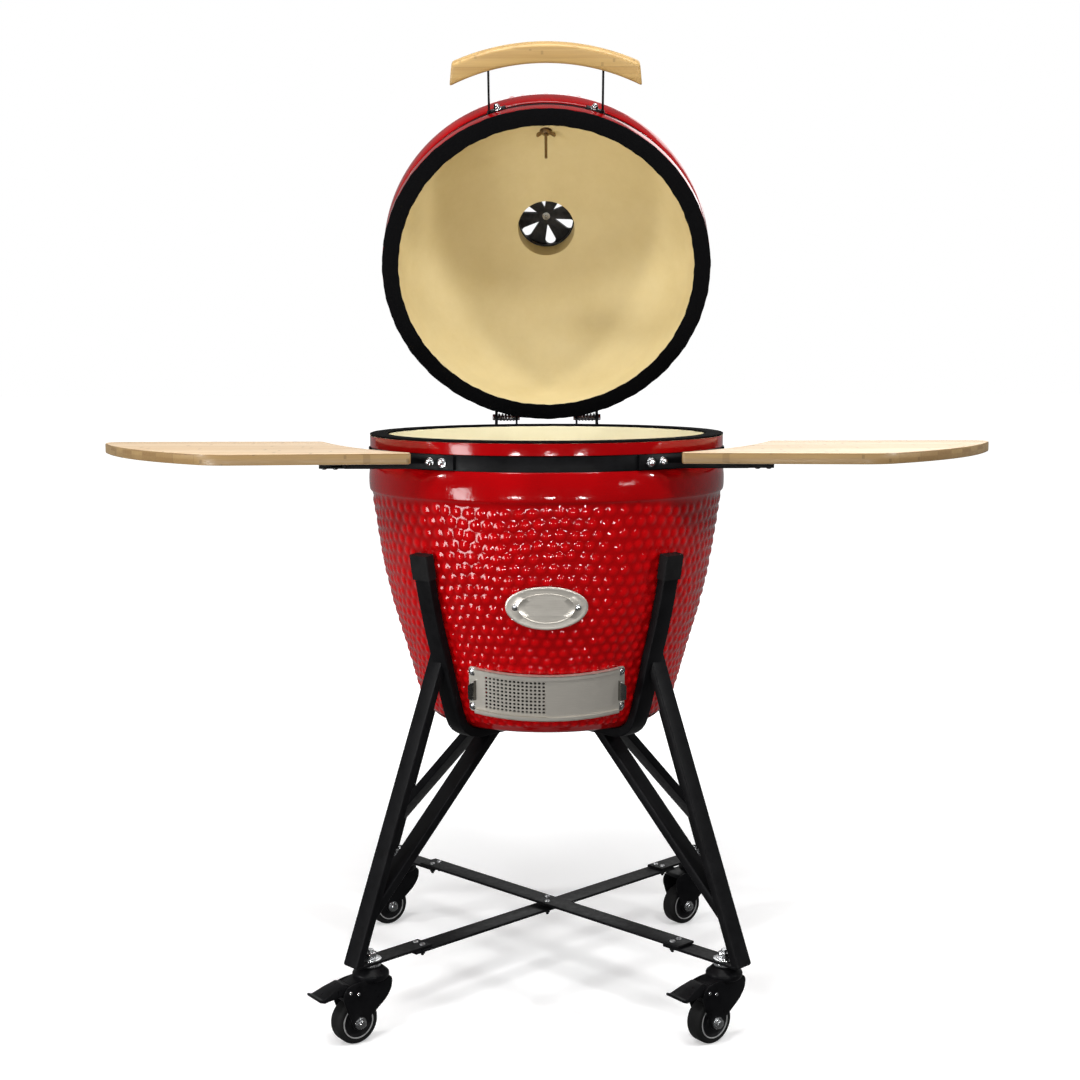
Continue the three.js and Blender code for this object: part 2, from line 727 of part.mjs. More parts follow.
function brakePedal() {
  const [px, pz] = PEDAL_PIVOT;
  const shape = new THREE.Shape();
  shape.moveTo(px - 6, pz);
  shape.lineTo(px - 3, pz + 7);
  shape.lineTo(px + 12, pz + 10);
  shape.lineTo(92, 96);
  shape.lineTo(93, 92);
  shape.lineTo(px + 18, pz + 4);
  shape.lineTo(px + 13, pz - 2);
  shape.lineTo(px + 10, pz - 14);
  shape.lineTo(px + 2, pz - 12);
  const pin = cylinder(2.5, -FORK_GAP + GAP, FORK_GAP - GAP, 10).rotateX(Math.PI / 2);
  return join(onEdge(shape, 26), pin.translate(px, 0, pz));
}

function caster(corner, signX, signY, braked) {
  const pieces = [
    piece("fork_" + corner, "black_steel", fork()),
    piece("wheel_" + corner, "rubber", wheel()),
    piece("axle_" + corner, "zinc", axle()),
  ];
  if (braked) pieces.push(piece("brake_" + corner, "black_steel", brakePedal()));
  const made = group(...pieces);
  made.position.set(signX * CASTER_XY, signY * CASTER_XY, 0);
  made.rotation.z = TRAIL_ANGLE;
  return made;
}

// ---- Assembly ----

const grill = group(
  piece("base_bowl", "glaze", baseBowl()),
  piece("base_gasket", "felt", ring(RIM_INNER_R, RIM_R, bowlTop + GAP, RIM_Z - GAP)),
  piece("base_band", "black_steel", ring(STRAP_GROOVE_R + GAP, STRAP_R, strapLow + GAP, strapHigh - GAP)),
  piece("fire_box", "bare_ceramic", fireBox()),
  piece("fire_ring", "bare_ceramic", fireRing()),
  piece("charcoal_grate", "cast_iron", charcoalGrate()),
  piece("cooking_grate", "stainless", cookingGrate()),
  piece("hinge_base_bracket", "black_steel", hingeBaseBracket()),
  piece("cross_bar_upper", "black_steel", crossBar(-1, FOOT_PLATE_Z + 6.3)),
  piece("cross_bar_lower", "black_steel", crossBar(1, FOOT_PLATE_Z - 2.3)),
  ...shelfPieces("left"),
  ...shelfPieces("right"),
);

const draft = group(
  piece("draft_frame", "stainless", draftFrame()),
  piece("screen_door", "stainless", slidingDoor(3.5, -0.505, 0.02, -0.485)),
  piece("draft_door", "stainless", slidingDoor(5.4, -0.005, 0.505, 0.485)),
);
draft.rotation.x = DOOR_TILT;
draft.position.set(
  0,
  -DOOR_FRONT_R + DOOR_R * Math.cos(DOOR_TILT),
  DOOR_Z + DOOR_R * Math.sin(DOOR_TILT),
);
grill.add(draft);

const BADGE_Z = 625;
const BADGE_FRONT_R = 242;
const badge = group(piece("badge_plate", "stainless", badgePlate()));
const badgeTilt = THREE.MathUtils.degToRad(12.5);
badge.rotation.x = badgeTilt;
badge.position.set(0, -BADGE_FRONT_R + 249 * Math.cos(badgeTilt), BADGE_Z + 249 * Math.sin(badgeTilt));
grill.add(badge);

const lidParts = group(
  piece("lid_dome", "glaze", lidDome()),
  piece("lid_gasket", "felt", ring(RIM_INNER_R, RIM_R, GAP, GAP + GASKET_T)),
  piece(
    "lid_band",
    "black_steel",
    ring(STRAP_GROOVE_R + GAP, STRAP_R, STRAP_FROM_RIM[0] + GAP, STRAP_FROM_RIM[1] - GAP),
  ),
  piece("handle_bracket_left", "black_steel", handlePlate(-1)),
  piece("handle_bracket_right", "black_steel", handlePlate(1)),
  piece("lid_handle", "bamboo", lidHandle()),
  piece("thermometer_case", "stainless", onThermometer(thermometerCase())),
  piece("thermometer_needle", "felt", onThermometer(thermometerNeedle())),
  piece("thermometer_nut", "stainless", onThermometer(thermometerNut())),
  piece("vent_collar", "cast_iron", ventCollar()),
  piece("vent_slide", "cast_iron", ventSlide()),
  piece("daisy_wheel", "cast_iron", daisyWheel()),
  piece("vent_screw", "zinc", ventScrew()),
);
lidParts.position.set(0, -HINGE_Y, RIM_Z - HINGE_Z);

const hingeHardware = group(piece("hinge_lid_bracket", "black_steel", hingeLidBracket()));
hingeHardware.position.set(0, -HINGE_Y, -HINGE_Z);

const lid = group(lidParts, hingeHardware);
lid.position.set(0, HINGE_Y, HINGE_Z);
lid.rotation.x = -LID_OPEN;
grill.add(lid);

const hingeAxis = group(piece("hinge_pin", "zinc", hingePin()));
for (const [side, x] of [["left", -72.3], ["right", 72.3]]) {
  const spring = piece("hinge_spring_" + side, "spring_steel", hingeSpring());
  spring.position.x = x;
  hingeAxis.add(spring);
}
hingeAxis.position.set(0, HINGE_Y, HINGE_Z);
grill.add(hingeAxis);

for (const [corner, signX, signY] of [
  ["front_left", -1, -1],
  ["front_right", 1, -1],
  ["back_left", -1, 1],
  ["back_right", 1, 1],
]) {
  grill.add(piece("leg_" + corner, "black_steel", leg(signX, signY)));
  grill.add(caster(corner, signX, signY, signY < 0));
}

const part = group(grill);
grill.position.y = -FOOTPRINT_MIDDLE_Y;

export default part;
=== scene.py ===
import math

import bmesh
import bpy
import numpy as np
from mathutils import Matrix, Vector


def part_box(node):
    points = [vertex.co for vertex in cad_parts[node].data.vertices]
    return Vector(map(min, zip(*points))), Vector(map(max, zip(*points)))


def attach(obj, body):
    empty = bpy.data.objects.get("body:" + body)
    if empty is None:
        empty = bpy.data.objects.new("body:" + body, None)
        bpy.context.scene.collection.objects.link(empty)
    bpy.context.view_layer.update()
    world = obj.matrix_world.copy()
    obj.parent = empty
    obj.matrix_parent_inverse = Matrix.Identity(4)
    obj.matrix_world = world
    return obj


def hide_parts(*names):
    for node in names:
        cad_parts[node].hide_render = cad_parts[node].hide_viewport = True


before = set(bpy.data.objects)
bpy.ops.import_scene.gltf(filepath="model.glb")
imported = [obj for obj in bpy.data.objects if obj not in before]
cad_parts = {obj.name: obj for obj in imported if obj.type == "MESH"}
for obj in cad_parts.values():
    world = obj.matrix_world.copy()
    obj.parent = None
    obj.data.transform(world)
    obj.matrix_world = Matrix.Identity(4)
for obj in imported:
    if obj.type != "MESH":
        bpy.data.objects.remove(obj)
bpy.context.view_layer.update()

# ---- Dimensions, in mm, from the middle of the stand ----

# the rims of the bowl and the lid, the swell beyond their straps, and the felt between them
RIM_Z = 861.5
RIM_R = 270
RIM_INNER_R = 243
BULGE_R = 272
GASKET_T = 2.8
# the straps, in their grooves: the heights of a groove's two edges, from the rim, and its middle
STRAP_R = 268
NUT_R = STRAP_R + 4.3
GROOVE_R = 265
STRAP = (20.5, 43.5)
STRAP_MIDDLE = 32
# the lid, how far it is open and where its hinge is
LID_OPEN = math.radians(66.3)
HINGE_Y = 298.5
HINGE_Z = 826
# the chimney and the vent on it, which swings aside on a pivot
CHIMNEY_R = 49.5
NECK_R = 62
NECK_TOP = 248
COLLAR_TOP = 267
PIVOT_X = -77
# the draft doors' cylinder, half the frame's angle on it, and the badge's cylinder
DOOR_R = 212
FRAME_END = 0.5
BADGE_R = 249
# the raised buttons of the glaze, and the bowl's side as radius and height
BUTTONS_AROUND = 88
BUTTON_RISE = 1.9
BOWL_SIDE = [(150, 426), (178, 434), (193, 455), (217, 537), (236, 603), (250, 665), (260, 727), (266, 768)]
# the shelves' arms and the line on which they fold
ARM_Y = {"front": -205, "rear": -8}
FOLD_X = 284
# the stand's bars, the gap between its cradle and the bowl, and its foot plates
BAR_W, BAR_T = 30, 14
CRADLE_ROOM = 2.7
PLATE_Z = 114
PLATE_TOP, PLATE_FOOT = 116, 112
# the two crossed bars, one on the foot plates and one under them
CROSS_TOP, CROSS_FOOT = 120.3, 107.7
BAR_BOLT_XY = 189.5
# the casters: the signs of their corners, and how far the wheel trails behind the stem
CASTERS = [("front_left", -1, -1), ("front_right", 1, -1), ("back_left", -1, 1), ("back_right", 1, 1)]
CASTER_XY = 254.5
TRAIL_ANGLE = math.radians(216.5)
TRAIL = 28.6
WHEEL_R = 33
# the signs of X on the two sides
SIDES = ((-1, "left"), (1, "right"))

# how bright the surroundings are in front of the object and behind it
FRONT_LIGHT = 0.06
BACK_LIGHT = 0.28

low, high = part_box("base_bowl")
SCALE = Matrix.Scale(0.001, 4)
STAND = Matrix.Translation((0, (low.y + high.y) / 2, 0)) @ SCALE
MIRROR = Matrix.Scale(-1, 4, (1, 0, 0))
FLIP = ("X", math.pi)
LIE = ("X", math.pi / 2)


def moved(*steps, start=STAND):
    """A placement made of steps in order from start inwards: (x, y, z) moves and ("X", angle) turns."""
    for step in steps:
        is_turn = isinstance(step[0], str)
        start = start @ (Matrix.Rotation(step[1], 4, step[0]) if is_turn else Matrix.Translation(step))
    return start


def leaning(radius, degrees, front_r, z):
    """A cylinder's axis that leans with the bowl's front, which the cylinder meets at front_r and z."""
    tilt = math.radians(degrees)
    return moved((0, -front_r + radius * math.cos(tilt), z + radius * math.sin(tilt)), ("X", tilt))


# the first has the lid's rim at height 0, and the second has the heights of the closed grill
LID = moved((0, HINGE_Y, HINGE_Z), ("X", -LID_OPEN), (0, -HINGE_Y, RIM_Z - HINGE_Z))
LID_AT_REST = moved((0, HINGE_Y, HINGE_Z), ("X", -LID_OPEN), (0, -HINGE_Y, -HINGE_Z))
DRAFT = leaning(DOOR_R, 15.6, 204, 489)
BADGE = leaning(BADGE_R, 12.5, 242, 625)

# ---- Materials ----


def new_material(name, color, roughness, metallic=0.0, **sockets):
    """A Principled material. sockets are more of the shader's values by name, with _ for a space."""
    made = bpy.data.materials.new(name)
    made.use_nodes = True
    shader = made.node_tree.nodes["Principled BSDF"]
    shader.inputs["Base Color"].default_value = (*color, 1)
    shader.inputs["Roughness"].default_value = roughness
    shader.inputs["Metallic"].default_value = metallic
    for key, value in sockets.items():
        shader.inputs[key.replace("_", " ")].default_value = value
    return made


def add_node(tree, kind, **values):
    """A node with the values of its sockets and settings."""
    node = tree.nodes.new(kind)
    for key, value in values.items():
        if key in node.inputs:
            node.inputs[key].default_value = value
        else:
            setattr(node, key, value)
    return node


def position(made, stretch=(1, 1, 1)):
    """The point on the piece, in metres, stretched, for a texture to read."""
    tree = made.node_tree
    mapping = add_node(tree, "ShaderNodeMapping", Scale=stretch)
    tree.links.new(add_node(tree, "ShaderNodeTexCoord").outputs["Object"], mapping.inputs["Vector"])
    return mapping.outputs["Vector"]


def split_up(tree, vector):
    node = add_node(tree, "ShaderNodeSeparateXYZ")
    tree.links.new(vector, node.inputs["Vector"])
    return node.outputs


def noise(made, scale, detail=3, stretch=(1, 1, 1), roughness=0.55):
    node = add_node(made.node_tree, "ShaderNodeTexNoise", Scale=scale, Detail=detail, Roughness=roughness)
    made.node_tree.links.new(position(made, stretch), node.inputs["Vector"])
    return node.outputs["Fac"]


def ramp(made, value, stops):
    """Colours along a value: stops are (place, colour)."""
    node = add_node(made.node_tree, "ShaderNodeValToRGB")
    elements = node.color_ramp.elements
    while len(elements) < len(stops):
        elements.new(0.5)
    for element, (place, color) in zip(elements, stops):
        element.position = place
        element.color = (*color, 1)
    made.node_tree.links.new(value, node.inputs["Fac"])
    return node.outputs["Color"]


def remapped(tree, value, source, target, **settings):
    """A value mapped from one range onto another."""
    node = add_node(tree, "ShaderNodeMapRange", **settings)
    for key, number in zip(("From Min", "From Max", "To Min", "To Max"), (*source, *target)):
        node.inputs[key].default_value = number
    tree.links.new(value, node.inputs["Value"])
    return node.outputs["Result"]


def spread(made, value, low_value, high_value):
    """A noise mapped onto a range."""
    return remapped(made.node_tree, value, (0.3, 0.7), (low_value, high_value))


def drive(made, socket, output):
    made.node_tree.links.new(output, made.node_tree.nodes["Principled BSDF"].inputs[socket])


def bump(made, height, distance, strength=1.0):
    """Adds a bump under the ones the material already has."""
    tree = made.node_tree
    normal = tree.nodes["Principled BSDF"].inputs["Normal"]
    node = add_node(tree, "ShaderNodeBump", Strength=strength, Distance=distance)
    tree.links.new(height, node.inputs["Height"])
    if normal.is_linked:
        tree.links.new(normal.links[0].from_socket, node.inputs["Normal"])
    tree.links.new(node.outputs["Normal"], normal)


def mixed(made, factor, first, second):
    """One colour mixed into another. Each is a colour or an output."""
    node = add_node(made.node_tree, "ShaderNodeMix", data_type="RGBA")
    for socket, source in ((node.inputs[0], factor), (node.inputs[6], first), (node.inputs[7], second)):
        if isinstance(source, tuple):
            socket.default_value = (*source, 1)
        else:
            made.node_tree.links.new(source, socket)
    return node.outputs[2]


def shaded(color, share):
    return tuple(c * share for c in color)


def glaze_material():
    """Red glass, brighter on the buttons."""
    made = new_material("red_glaze", (0.42, 0.004, 0.006), 0.1, IOR=1.38)
    rise = add_node(made.node_tree, "ShaderNodeAttribute", attribute_name="rise")
    cloud = ramp(made, noise(made, 9), [(0.35, (0.27, 0.0006, 0.0015)), (0.65, (0.34, 0.0008, 0.002))])
    drive(made, "Base Color", mixed(made, rise.outputs["Fac"], cloud, (0.49, 0.0013, 0.0028)))
    drive(made, "Roughness", spread(made, noise(made, 55), 0.06, 0.13))
    bump(made, noise(made, 260, 2), 0.00015, 0.5)
    bump(made, noise(made, 45, 2), 0.001, 0.4)
    return made


def ceramic_material(name, dark, light):
    """Bare ceramic, with painted shade that darkens it towards the bottom, in the ash pit."""
    made = new_material(name, light, 0.75)
    mottled = ramp(made, noise(made, 11, 7, roughness=0.7), [(0.25, dark), (0.75, light)])
    height = split_up(made.node_tree, position(made))["Z"]
    # painted shade: from 0.60 m down to 0.53 m the colour darkens to near black, standing in for the shade
    # deep in the bowl and the ash pit
    ash_pit_shade = remapped(made.node_tree, height, (0.60, 0.53), (0.0, 0.96))
    drive(made, "Base Color", mixed(made, ash_pit_shade, mottled, (0.03, 0.027, 0.024)))
    drive(made, "Roughness", spread(made, noise(made, 40), 0.6, 0.85))
    bump(made, noise(made, 900), 0.0002, 0.35)
    bump(made, noise(made, 60, 2), 0.0006, 0.3)
    return made


def felt_material():
    made = new_material("felt", (0.005, 0.005, 0.005), 0.95, Specular_IOR_Level=0.05)
    fibres = noise(made, 1400, 4, (1, 1, 0.3))
    tones = [(0.35, (0.0015, 0.0015, 0.002)), (0.7, (0.006, 0.006, 0.0065))]
    drive(made, "Base Color", ramp(made, fibres, tones))
    bump(made, fibres, 0.0004, 0.7)
    bump(made, noise(made, 160), 0.0008, 0.4)
    return made


def coated_material(name, color, roughness, grain=900):
    """Powder coat or moulded plastic: a fine orange peel."""
    made = new_material(name, color, roughness, Specular_IOR_Level=0.08)
    lighter = tuple(min(c * 1.8 + 0.001, 1) for c in color)
    drive(made, "Base Color", ramp(made, noise(made, 30, 5), [(0.3, color), (0.75, lighter)]))
    drive(made, "Roughness", spread(made, noise(made, 120), roughness - 0.07, roughness + 0.08))
    bump(made, noise(made, grain, 2), 0.0002, 0.35)
    return made


def iron_material():
    made = new_material("cast_iron", (0.016, 0.016, 0.017), 0.6, 0.3)
    tones = [(0.3, (0.009, 0.009, 0.009)), (0.75, (0.03, 0.028, 0.027))]
    drive(made, "Base Color", ramp(made, noise(made, 90, 5), tones))
    drive(made, "Roughness", spread(made, noise(made, 200), 0.45, 0.72))
    bump(made, noise(made, 700, 4), 0.0005, 0.6)
    return made


def brushed_material(name, color, roughness, stretch, streak=700, metallic=1.0):
    """Brushed metal. The stretch is small along the brushing."""
    made = new_material(name, color, roughness, metallic)
    lines = noise(made, streak, 3, stretch)
    drive(made, "Base Color", ramp(made, lines, [(0.3, shaded(color, 0.93)), (0.7, color)]))
    drive(made, "Roughness", spread(made, lines, roughness - 0.04, roughness + 0.06))
    bump(made, lines, 0.00002, 0.3)
    return made


def bamboo_material(name, pale, golden, strip):
    """Laminated bamboo, along X: strips side by side, each with its own tone, fibres and a few nodes."""
    layer_t, node_gap, node_w, seam_w = 0.0055, 0.24, 0.008, 0.03
    made = new_material(name, pale, 0.42, Coat_Weight=0.15, Coat_Roughness=0.25)
    tree = made.node_tree
    x, y, z = split_up(tree, position(made))

    def maths(operation, *sources):
        node = add_node(tree, "ShaderNodeMath", operation=operation)
        for socket, source in zip(node.inputs, sources):
            if isinstance(source, (int, float)):
                socket.default_value = source
            else:
                tree.links.new(source, socket)
        return node.outputs[0]

    strips = maths("DIVIDE", y, strip)
    layer = maths("FLOOR", maths("DIVIDE", z, layer_t))
    seed = maths("ADD", maths("MULTIPLY", maths("FLOOR", strips), 3.17), maths("MULTIPLY", layer, 7.31))
    tone = add_node(tree, "ShaderNodeTexWhiteNoise", noise_dimensions="1D")
    tree.links.new(seed, tone.inputs["W"])
    fibres = noise(made, 420, 4, (0.035, 1, 1))
    streaks = noise(made, 60, 3, (0.06, 1, 1))
    wood = mixed(made, tone.outputs["Value"], pale, golden)
    wood = mixed(made, spread(made, streaks, 0.0, 0.35), wood, shaded(golden, 0.78))
    wood = mixed(made, spread(made, fibres, 0.0, 0.22), wood, shaded(golden, 0.6))
    # a bamboo node crosses each strip now and then
    shifted = maths("ADD", x, maths("MULTIPLY", tone.outputs["Value"], 0.9))
    place = maths("ABSOLUTE", maths("SUBTRACT", maths("FRACT", maths("DIVIDE", shifted, node_gap)), 0.5))
    knot = maths("LESS_THAN", place, node_w)
    wood = mixed(made, maths("MULTIPLY", knot, 0.45), wood, shaded(golden, 0.45))
    seam = maths("LESS_THAN", maths("FRACT", strips), seam_w)
    drive(made, "Base Color", mixed(made, maths("MULTIPLY", seam, 0.35), wood, shaded(golden, 0.5)))
    drive(made, "Roughness", spread(made, fibres, 0.36, 0.52))
    bump(made, fibres, 0.00012, 0.4)
    bump(made, maths("SUBTRACT", 1.0, seam), 0.0001, 0.4)
    return made


# A finish is a material slot's name and the materials on it.
GLAZE = glaze_material()
CREAM = ("red_glaze", GLAZE, ceramic_material("cream_ceramic", (0.70, 0.57, 0.29), (0.78, 0.655, 0.365)))
PALE = ("red_glaze", GLAZE, ceramic_material("pale_ceramic", (0.84, 0.76, 0.49), (0.92, 0.85, 0.58)))
CLAY = ("fire_ceramic", ceramic_material("fire_clay", (0.50, 0.40, 0.21), (0.62, 0.51, 0.29)))
FELT = ("felt", felt_material())
COAT = ("black_steel", coated_material("powder_coat", (0.0026, 0.0026, 0.003), 0.4))
CAP = ("black_steel", coated_material("cap_plastic", (0.006, 0.006, 0.0062), 0.5, 1600))
CASTER = ("caster_black", coated_material("caster_paint", (0.003, 0.003, 0.0034), 0.33, 1300))
IRON = ("cast_iron", iron_material())
STEEL = ("stainless",
         brushed_material("brushed_stainless", (0.68, 0.64, 0.57), 0.34, (0.03, 0.5, 1.4), metallic=0.7))
TAB = ("stainless", brushed_material("polished_tab", (0.26, 0.25, 0.235), 0.2, (1, 1, 0.05)))
GRID = ("grid_steel", brushed_material("grid_steel", (0.5, 0.49, 0.47), 0.33, (1, 0.05, 1)))
ZINC = ("zinc", brushed_material("bright_zinc", (0.66, 0.67, 0.68), 0.22, (1, 1, 1), 300))
BRASS = ("stainless", brushed_material("aged_brass", (0.30, 0.22, 0.14), 0.35, (1, 1, 0.2), 300))
SPRING = ("spring_steel", brushed_material("spring_wire", (0.4, 0.4, 0.41), 0.3, (1, 1, 1), 500))
DULL_ZINC = ("zinc", SPRING[1])
BLACK_ZINC = ("zinc", COAT[1])
RUBBER = ("tyre", coated_material("tread", (0.007, 0.007, 0.007), 0.6, 500))
HUB = ("tyre", coated_material("hub_nylon", (0.006, 0.006, 0.0065), 0.42))
RING = ("tyre", coated_material("hub_ring", (0.24, 0.24, 0.24), 0.5))
DIAL = ("stainless", coated_material("dial_enamel", (0.75, 0.75, 0.73), 0.4))
MARKS = ("needle", coated_material("dial_print", (0.02, 0.02, 0.02), 0.5))
BOARD = ("bamboo", bamboo_material("bamboo_board", (0.84, 0.66, 0.46), (0.70, 0.50, 0.30), 0.021),
         bamboo_material("bamboo_edge", (0.36, 0.235, 0.095), (0.24, 0.14, 0.05), 0.03))
GRIP = ("bamboo", bamboo_material("bamboo_grip", (0.60, 0.395, 0.145), (0.47, 0.285, 0.095), 0.011))
GLASS = ("stainless", new_material("gauge_glass", (1, 1, 1), 0.02, Transmission_Weight=1.0, IOR=1.45))

# ---- Making pieces ----


def added(name, data):
    """A new object in the scene."""
    obj = bpy.data.objects.new(name, data)
    bpy.context.scene.collection.objects.link(obj)
    return obj


def put(name, made, place, body, finish, replaces=(), smooth=32):
    """Turns a bmesh into a piece that rides on a body."""
    slot, *materials = finish
    bmesh.ops.remove_doubles(made, verts=made.verts, dist=0.004)
    made.transform(place)
    if place.determinant() < 0:
        bmesh.ops.reverse_faces(made, faces=made.faces)
    mesh = bpy.data.meshes.new(name)
    made.to_mesh(mesh)
    made.free()
    mesh.shade_smooth()
    mesh.set_sharp_from_angle(angle=math.radians(smooth))
    for material in materials:
        mesh.materials.append(material)
    obj = added(name, mesh)
    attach(obj, body)
    if replaces:
        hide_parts(*replaces)


def turns(count):
    """Equal angles, once round."""
    return np.arange(count) * 2 * math.pi / count


def unit(vectors):
    return vectors / np.linalg.norm(vectors, axis=1)[:, None]


def run_of(points):
    """The distance along a curve at each of its points."""
    return np.concatenate([[0], np.cumsum(np.linalg.norm(np.diff(points, axis=0), axis=1))])


def outward(curve):
    """The way out of a curve of (radius, height) points that runs upwards."""
    slope = np.gradient(curve, axis=0)
    return unit(np.stack([slope[:, 1], -slope[:, 0]], 1))


def rounded(points, radius, steps=3, closed=True):
    """An outline with its corners rounded. radius is one number or one for each point."""
    out = []
    count = len(points)
    for i, point in enumerate(points):
        r = radius[i] if isinstance(radius, list) else radius
        here = Vector(point)
        if r <= 0 or (not closed and i in (0, count - 1)):
            out.append(tuple(here))
            continue
        back = Vector(points[i - 1]) - here
        ahead = Vector(points[(i + 1) % count]) - here
        reach = min(r, 0.45 * back.length, 0.45 * ahead.length)
        start, end = here + back.normalized() * reach, here + ahead.normalized() * reach
        for k in range(steps + 1):
            t = k / steps
            out.append(tuple(start * (1 - t) ** 2 + here * 2 * t * (1 - t) + end * t * t))
    return out


def grid(points, close_rows=False, close_columns=True, flip=False):
    """Faces over rows and columns of points."""
    points = np.asarray(points, float)
    rows, columns = points.shape[:2]
    r = np.arange(rows if close_rows else rows - 1)
    c = np.arange(columns if close_columns else columns - 1)
    i, j = np.meshgrid(r, c, indexing="ij")
    i2, j2 = (i + 1) % rows, (j + 1) % columns
    corners = [i * columns + j, i * columns + j2, i2 * columns + j2, i2 * columns + j]
    faces = np.stack(corners[::-1] if flip else corners, -1).reshape(-1, 4)
    return points.reshape(-1, 3), faces.tolist()


def mesh_of(points, faces):
    """A bmesh of points and faces, without the faces that have shrunk to nothing."""
    made = bmesh.new()
    verts = [made.verts.new(p) for p in points]
    for face in faces:
        made.faces.new([verts[i] for i in face])
    bmesh.ops.remove_doubles(made, verts=made.verts, dist=0.001)
    bmesh.ops.dissolve_degenerate(made, dist=0.0005, edges=made.edges)
    return made


def facing_out(made):
    bmesh.ops.recalc_face_normals(made, faces=made.faces)
    return made


def spun(r, z, columns):
    """Points and faces of a closed surface round Z. r and z have a row for each ring."""
    angles = turns(columns)
    area = np.sum(r[:, 0] * np.roll(z[:, 0], -1) - np.roll(r[:, 0], -1) * z[:, 0])
    points = np.stack(np.broadcast_arrays(r * np.sin(angles), -r * np.cos(angles), z), -1)
    return grid(points, close_rows=True, flip=area < 0)


def lathe(profile, segments=96):
    """A closed profile of (radius, height) points spun about Z."""
    r, z = np.array(profile, float).T[..., None]
    return mesh_of(*spun(r, z, segments))


def rod(inner, outer, low_z, high_z, corner=0.0, segments=24, steps=3):
    """A round bar, or with an inner radius a tube, on Z with its corners rounded."""
    hollow = corner if inner else 0
    outline = [(inner, low_z), (outer, low_z), (outer, high_z), (inner, high_z)]
    return lathe(rounded(outline, [hollow, corner, corner, hollow], steps), segments)


def swept(rows, closed=False):
    """A surface through rows of points, each row one section. Its ends are capped unless it closes."""
    points, faces = grid(rows, close_rows=closed)
    if not closed:
        count, last = len(rows[0]), (len(rows) - 1) * len(rows[0])
        faces += [list(range(count)), [last + k for k in reversed(range(count))]]
    return facing_out(mesh_of(points, faces))


def wire(path, radius, sides=10, closed=False):
    """A round wire along points."""
    path = np.array(path, float)
    along = unit(np.roll(path, -1, 0) - np.roll(path, 1, 0) if closed else np.gradient(path, axis=0))
    side = unit(np.cross(along, (0.13, 0.21, 0.97)))
    other = np.cross(side, along)
    turn = turns(sides)[:, None]
    ring = side[:, None] * np.cos(turn) + other[:, None] * np.sin(turn)
    return swept(path[:, None] + radius * ring, closed)


def straight_bar(start, end, width, thick, radius):
    start, end = Vector(start), Vector(end)
    along = (end - start).normalized()
    across = Vector((0, 0, 1)).cross(along).normalized()
    up = along.cross(across)
    w, t = width / 2, thick / 2
    section = rounded([(-w, -t), (w, -t), (w, t), (-w, t)], radius)
    return swept([[tuple(point + across * a + up * b) for a, b in section] for point in (start, end)])


def bevelled(made, width):
    """Softens the edges that are sharper than 40 degrees."""
    edges = [e for e in made.edges if e.is_manifold and e.calc_face_angle(0) > math.radians(40)]
    bmesh.ops.bevel(
        made, geom=edges, offset=width, segments=2, profile=0.5, affect="EDGES", clamp_overlap=True
    )
    return made


def joined(*shapes):
    made = bmesh.new()
    for shape in shapes:
        mesh = bpy.data.meshes.new("part")
        shape.to_mesh(mesh)
        shape.free()
        made.from_mesh(mesh)
        bpy.data.meshes.remove(mesh)
    return made


def turned(made, *steps):
    """Moves a bmesh by steps, as moved() takes them."""
    made.transform(moved(*steps, start=Matrix.Identity(4)))
    return made


def block(x0, y0, z0, x1, y1, z1, bevel=0.6):
    middle = Matrix.Translation(((x0 + x1) / 2, (y0 + y1) / 2, (z0 + z1) / 2))
    made = bmesh.new()
    bmesh.ops.create_cube(made, size=1, matrix=middle @ Matrix.Diagonal((x1 - x0, y1 - y0, z1 - z0, 1)))
    return bevelled(made, bevel)


def plate(loops, low_z, high_z, bevel=0.5):
    """A flat plate from an outline and its holes, with softened edges."""
    curve = bpy.data.curves.new("outline", "CURVE")
    curve.dimensions = "2D"
    curve.fill_mode = "BOTH"
    curve.extrude = (high_z - low_z) / 2 - bevel
    curve.bevel_depth = bevel
    curve.bevel_resolution = 1
    curve.offset = -bevel
    for loop in loops:
        spline = curve.splines.new("POLY")
        spline.points.add(len(loop) - 1)
        spline.use_cyclic_u = True
        for point, (x, y) in zip(spline.points, loop):
            point.co = (x, y, 0, 1)
    obj = added("outline", curve)
    bpy.context.view_layer.update()
    mesh = bpy.data.meshes.new_from_object(obj.evaluated_get(bpy.context.evaluated_depsgraph_get()))
    made = bmesh.new()
    made.from_mesh(mesh)
    bpy.data.objects.remove(obj)
    bpy.data.curves.remove(curve)
    bpy.data.meshes.remove(mesh)
    bmesh.ops.remove_doubles(made, verts=made.verts, dist=0.002)
    return turned(facing_out(made), (0, 0, (low_z + high_z) / 2))


def upright(outline, corner, half, bevel, steps=3):
    """A plate standing in the XZ plane, from an outline of (x, z) points."""
    return turned(plate([rounded(outline, corner, steps)], -half, half, bevel), LIE)


def circle(x, y, radius, count=24):
    return [(x + radius * math.cos(t), y + radius * math.sin(t)) for t in turns(count)]


def put_refined(node, body, bevel=0.5):
    """Shows a black steel CAD node's own solid with its edges softened."""
    made = bmesh.new()
    made.from_mesh(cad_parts[node].data)
    made.transform(Matrix.Scale(1000, 4))
    bmesh.ops.remove_doubles(made, verts=made.verts, dist=0.01)
    bmesh.ops.dissolve_limit(made, angle_limit=math.radians(1.5), verts=made.verts, edges=made.edges)
    put(node + "_shown", bevelled(made, bevel), SCALE, body, COAT, (node,))


# ---- Fasteners: each is made on Z, its foot at 0 ----


def hexagon(radius, height):
    return bevelled(joined(rod(0, radius, 0, height, segments=6)), 0.7)


def washer(radius, thick=1.4, hole=0.0):
    return lathe(rounded([(hole, 0), (radius, 0), (radius, thick), (hole, thick)], [0, 0.3, 0.5, 0]), 28)


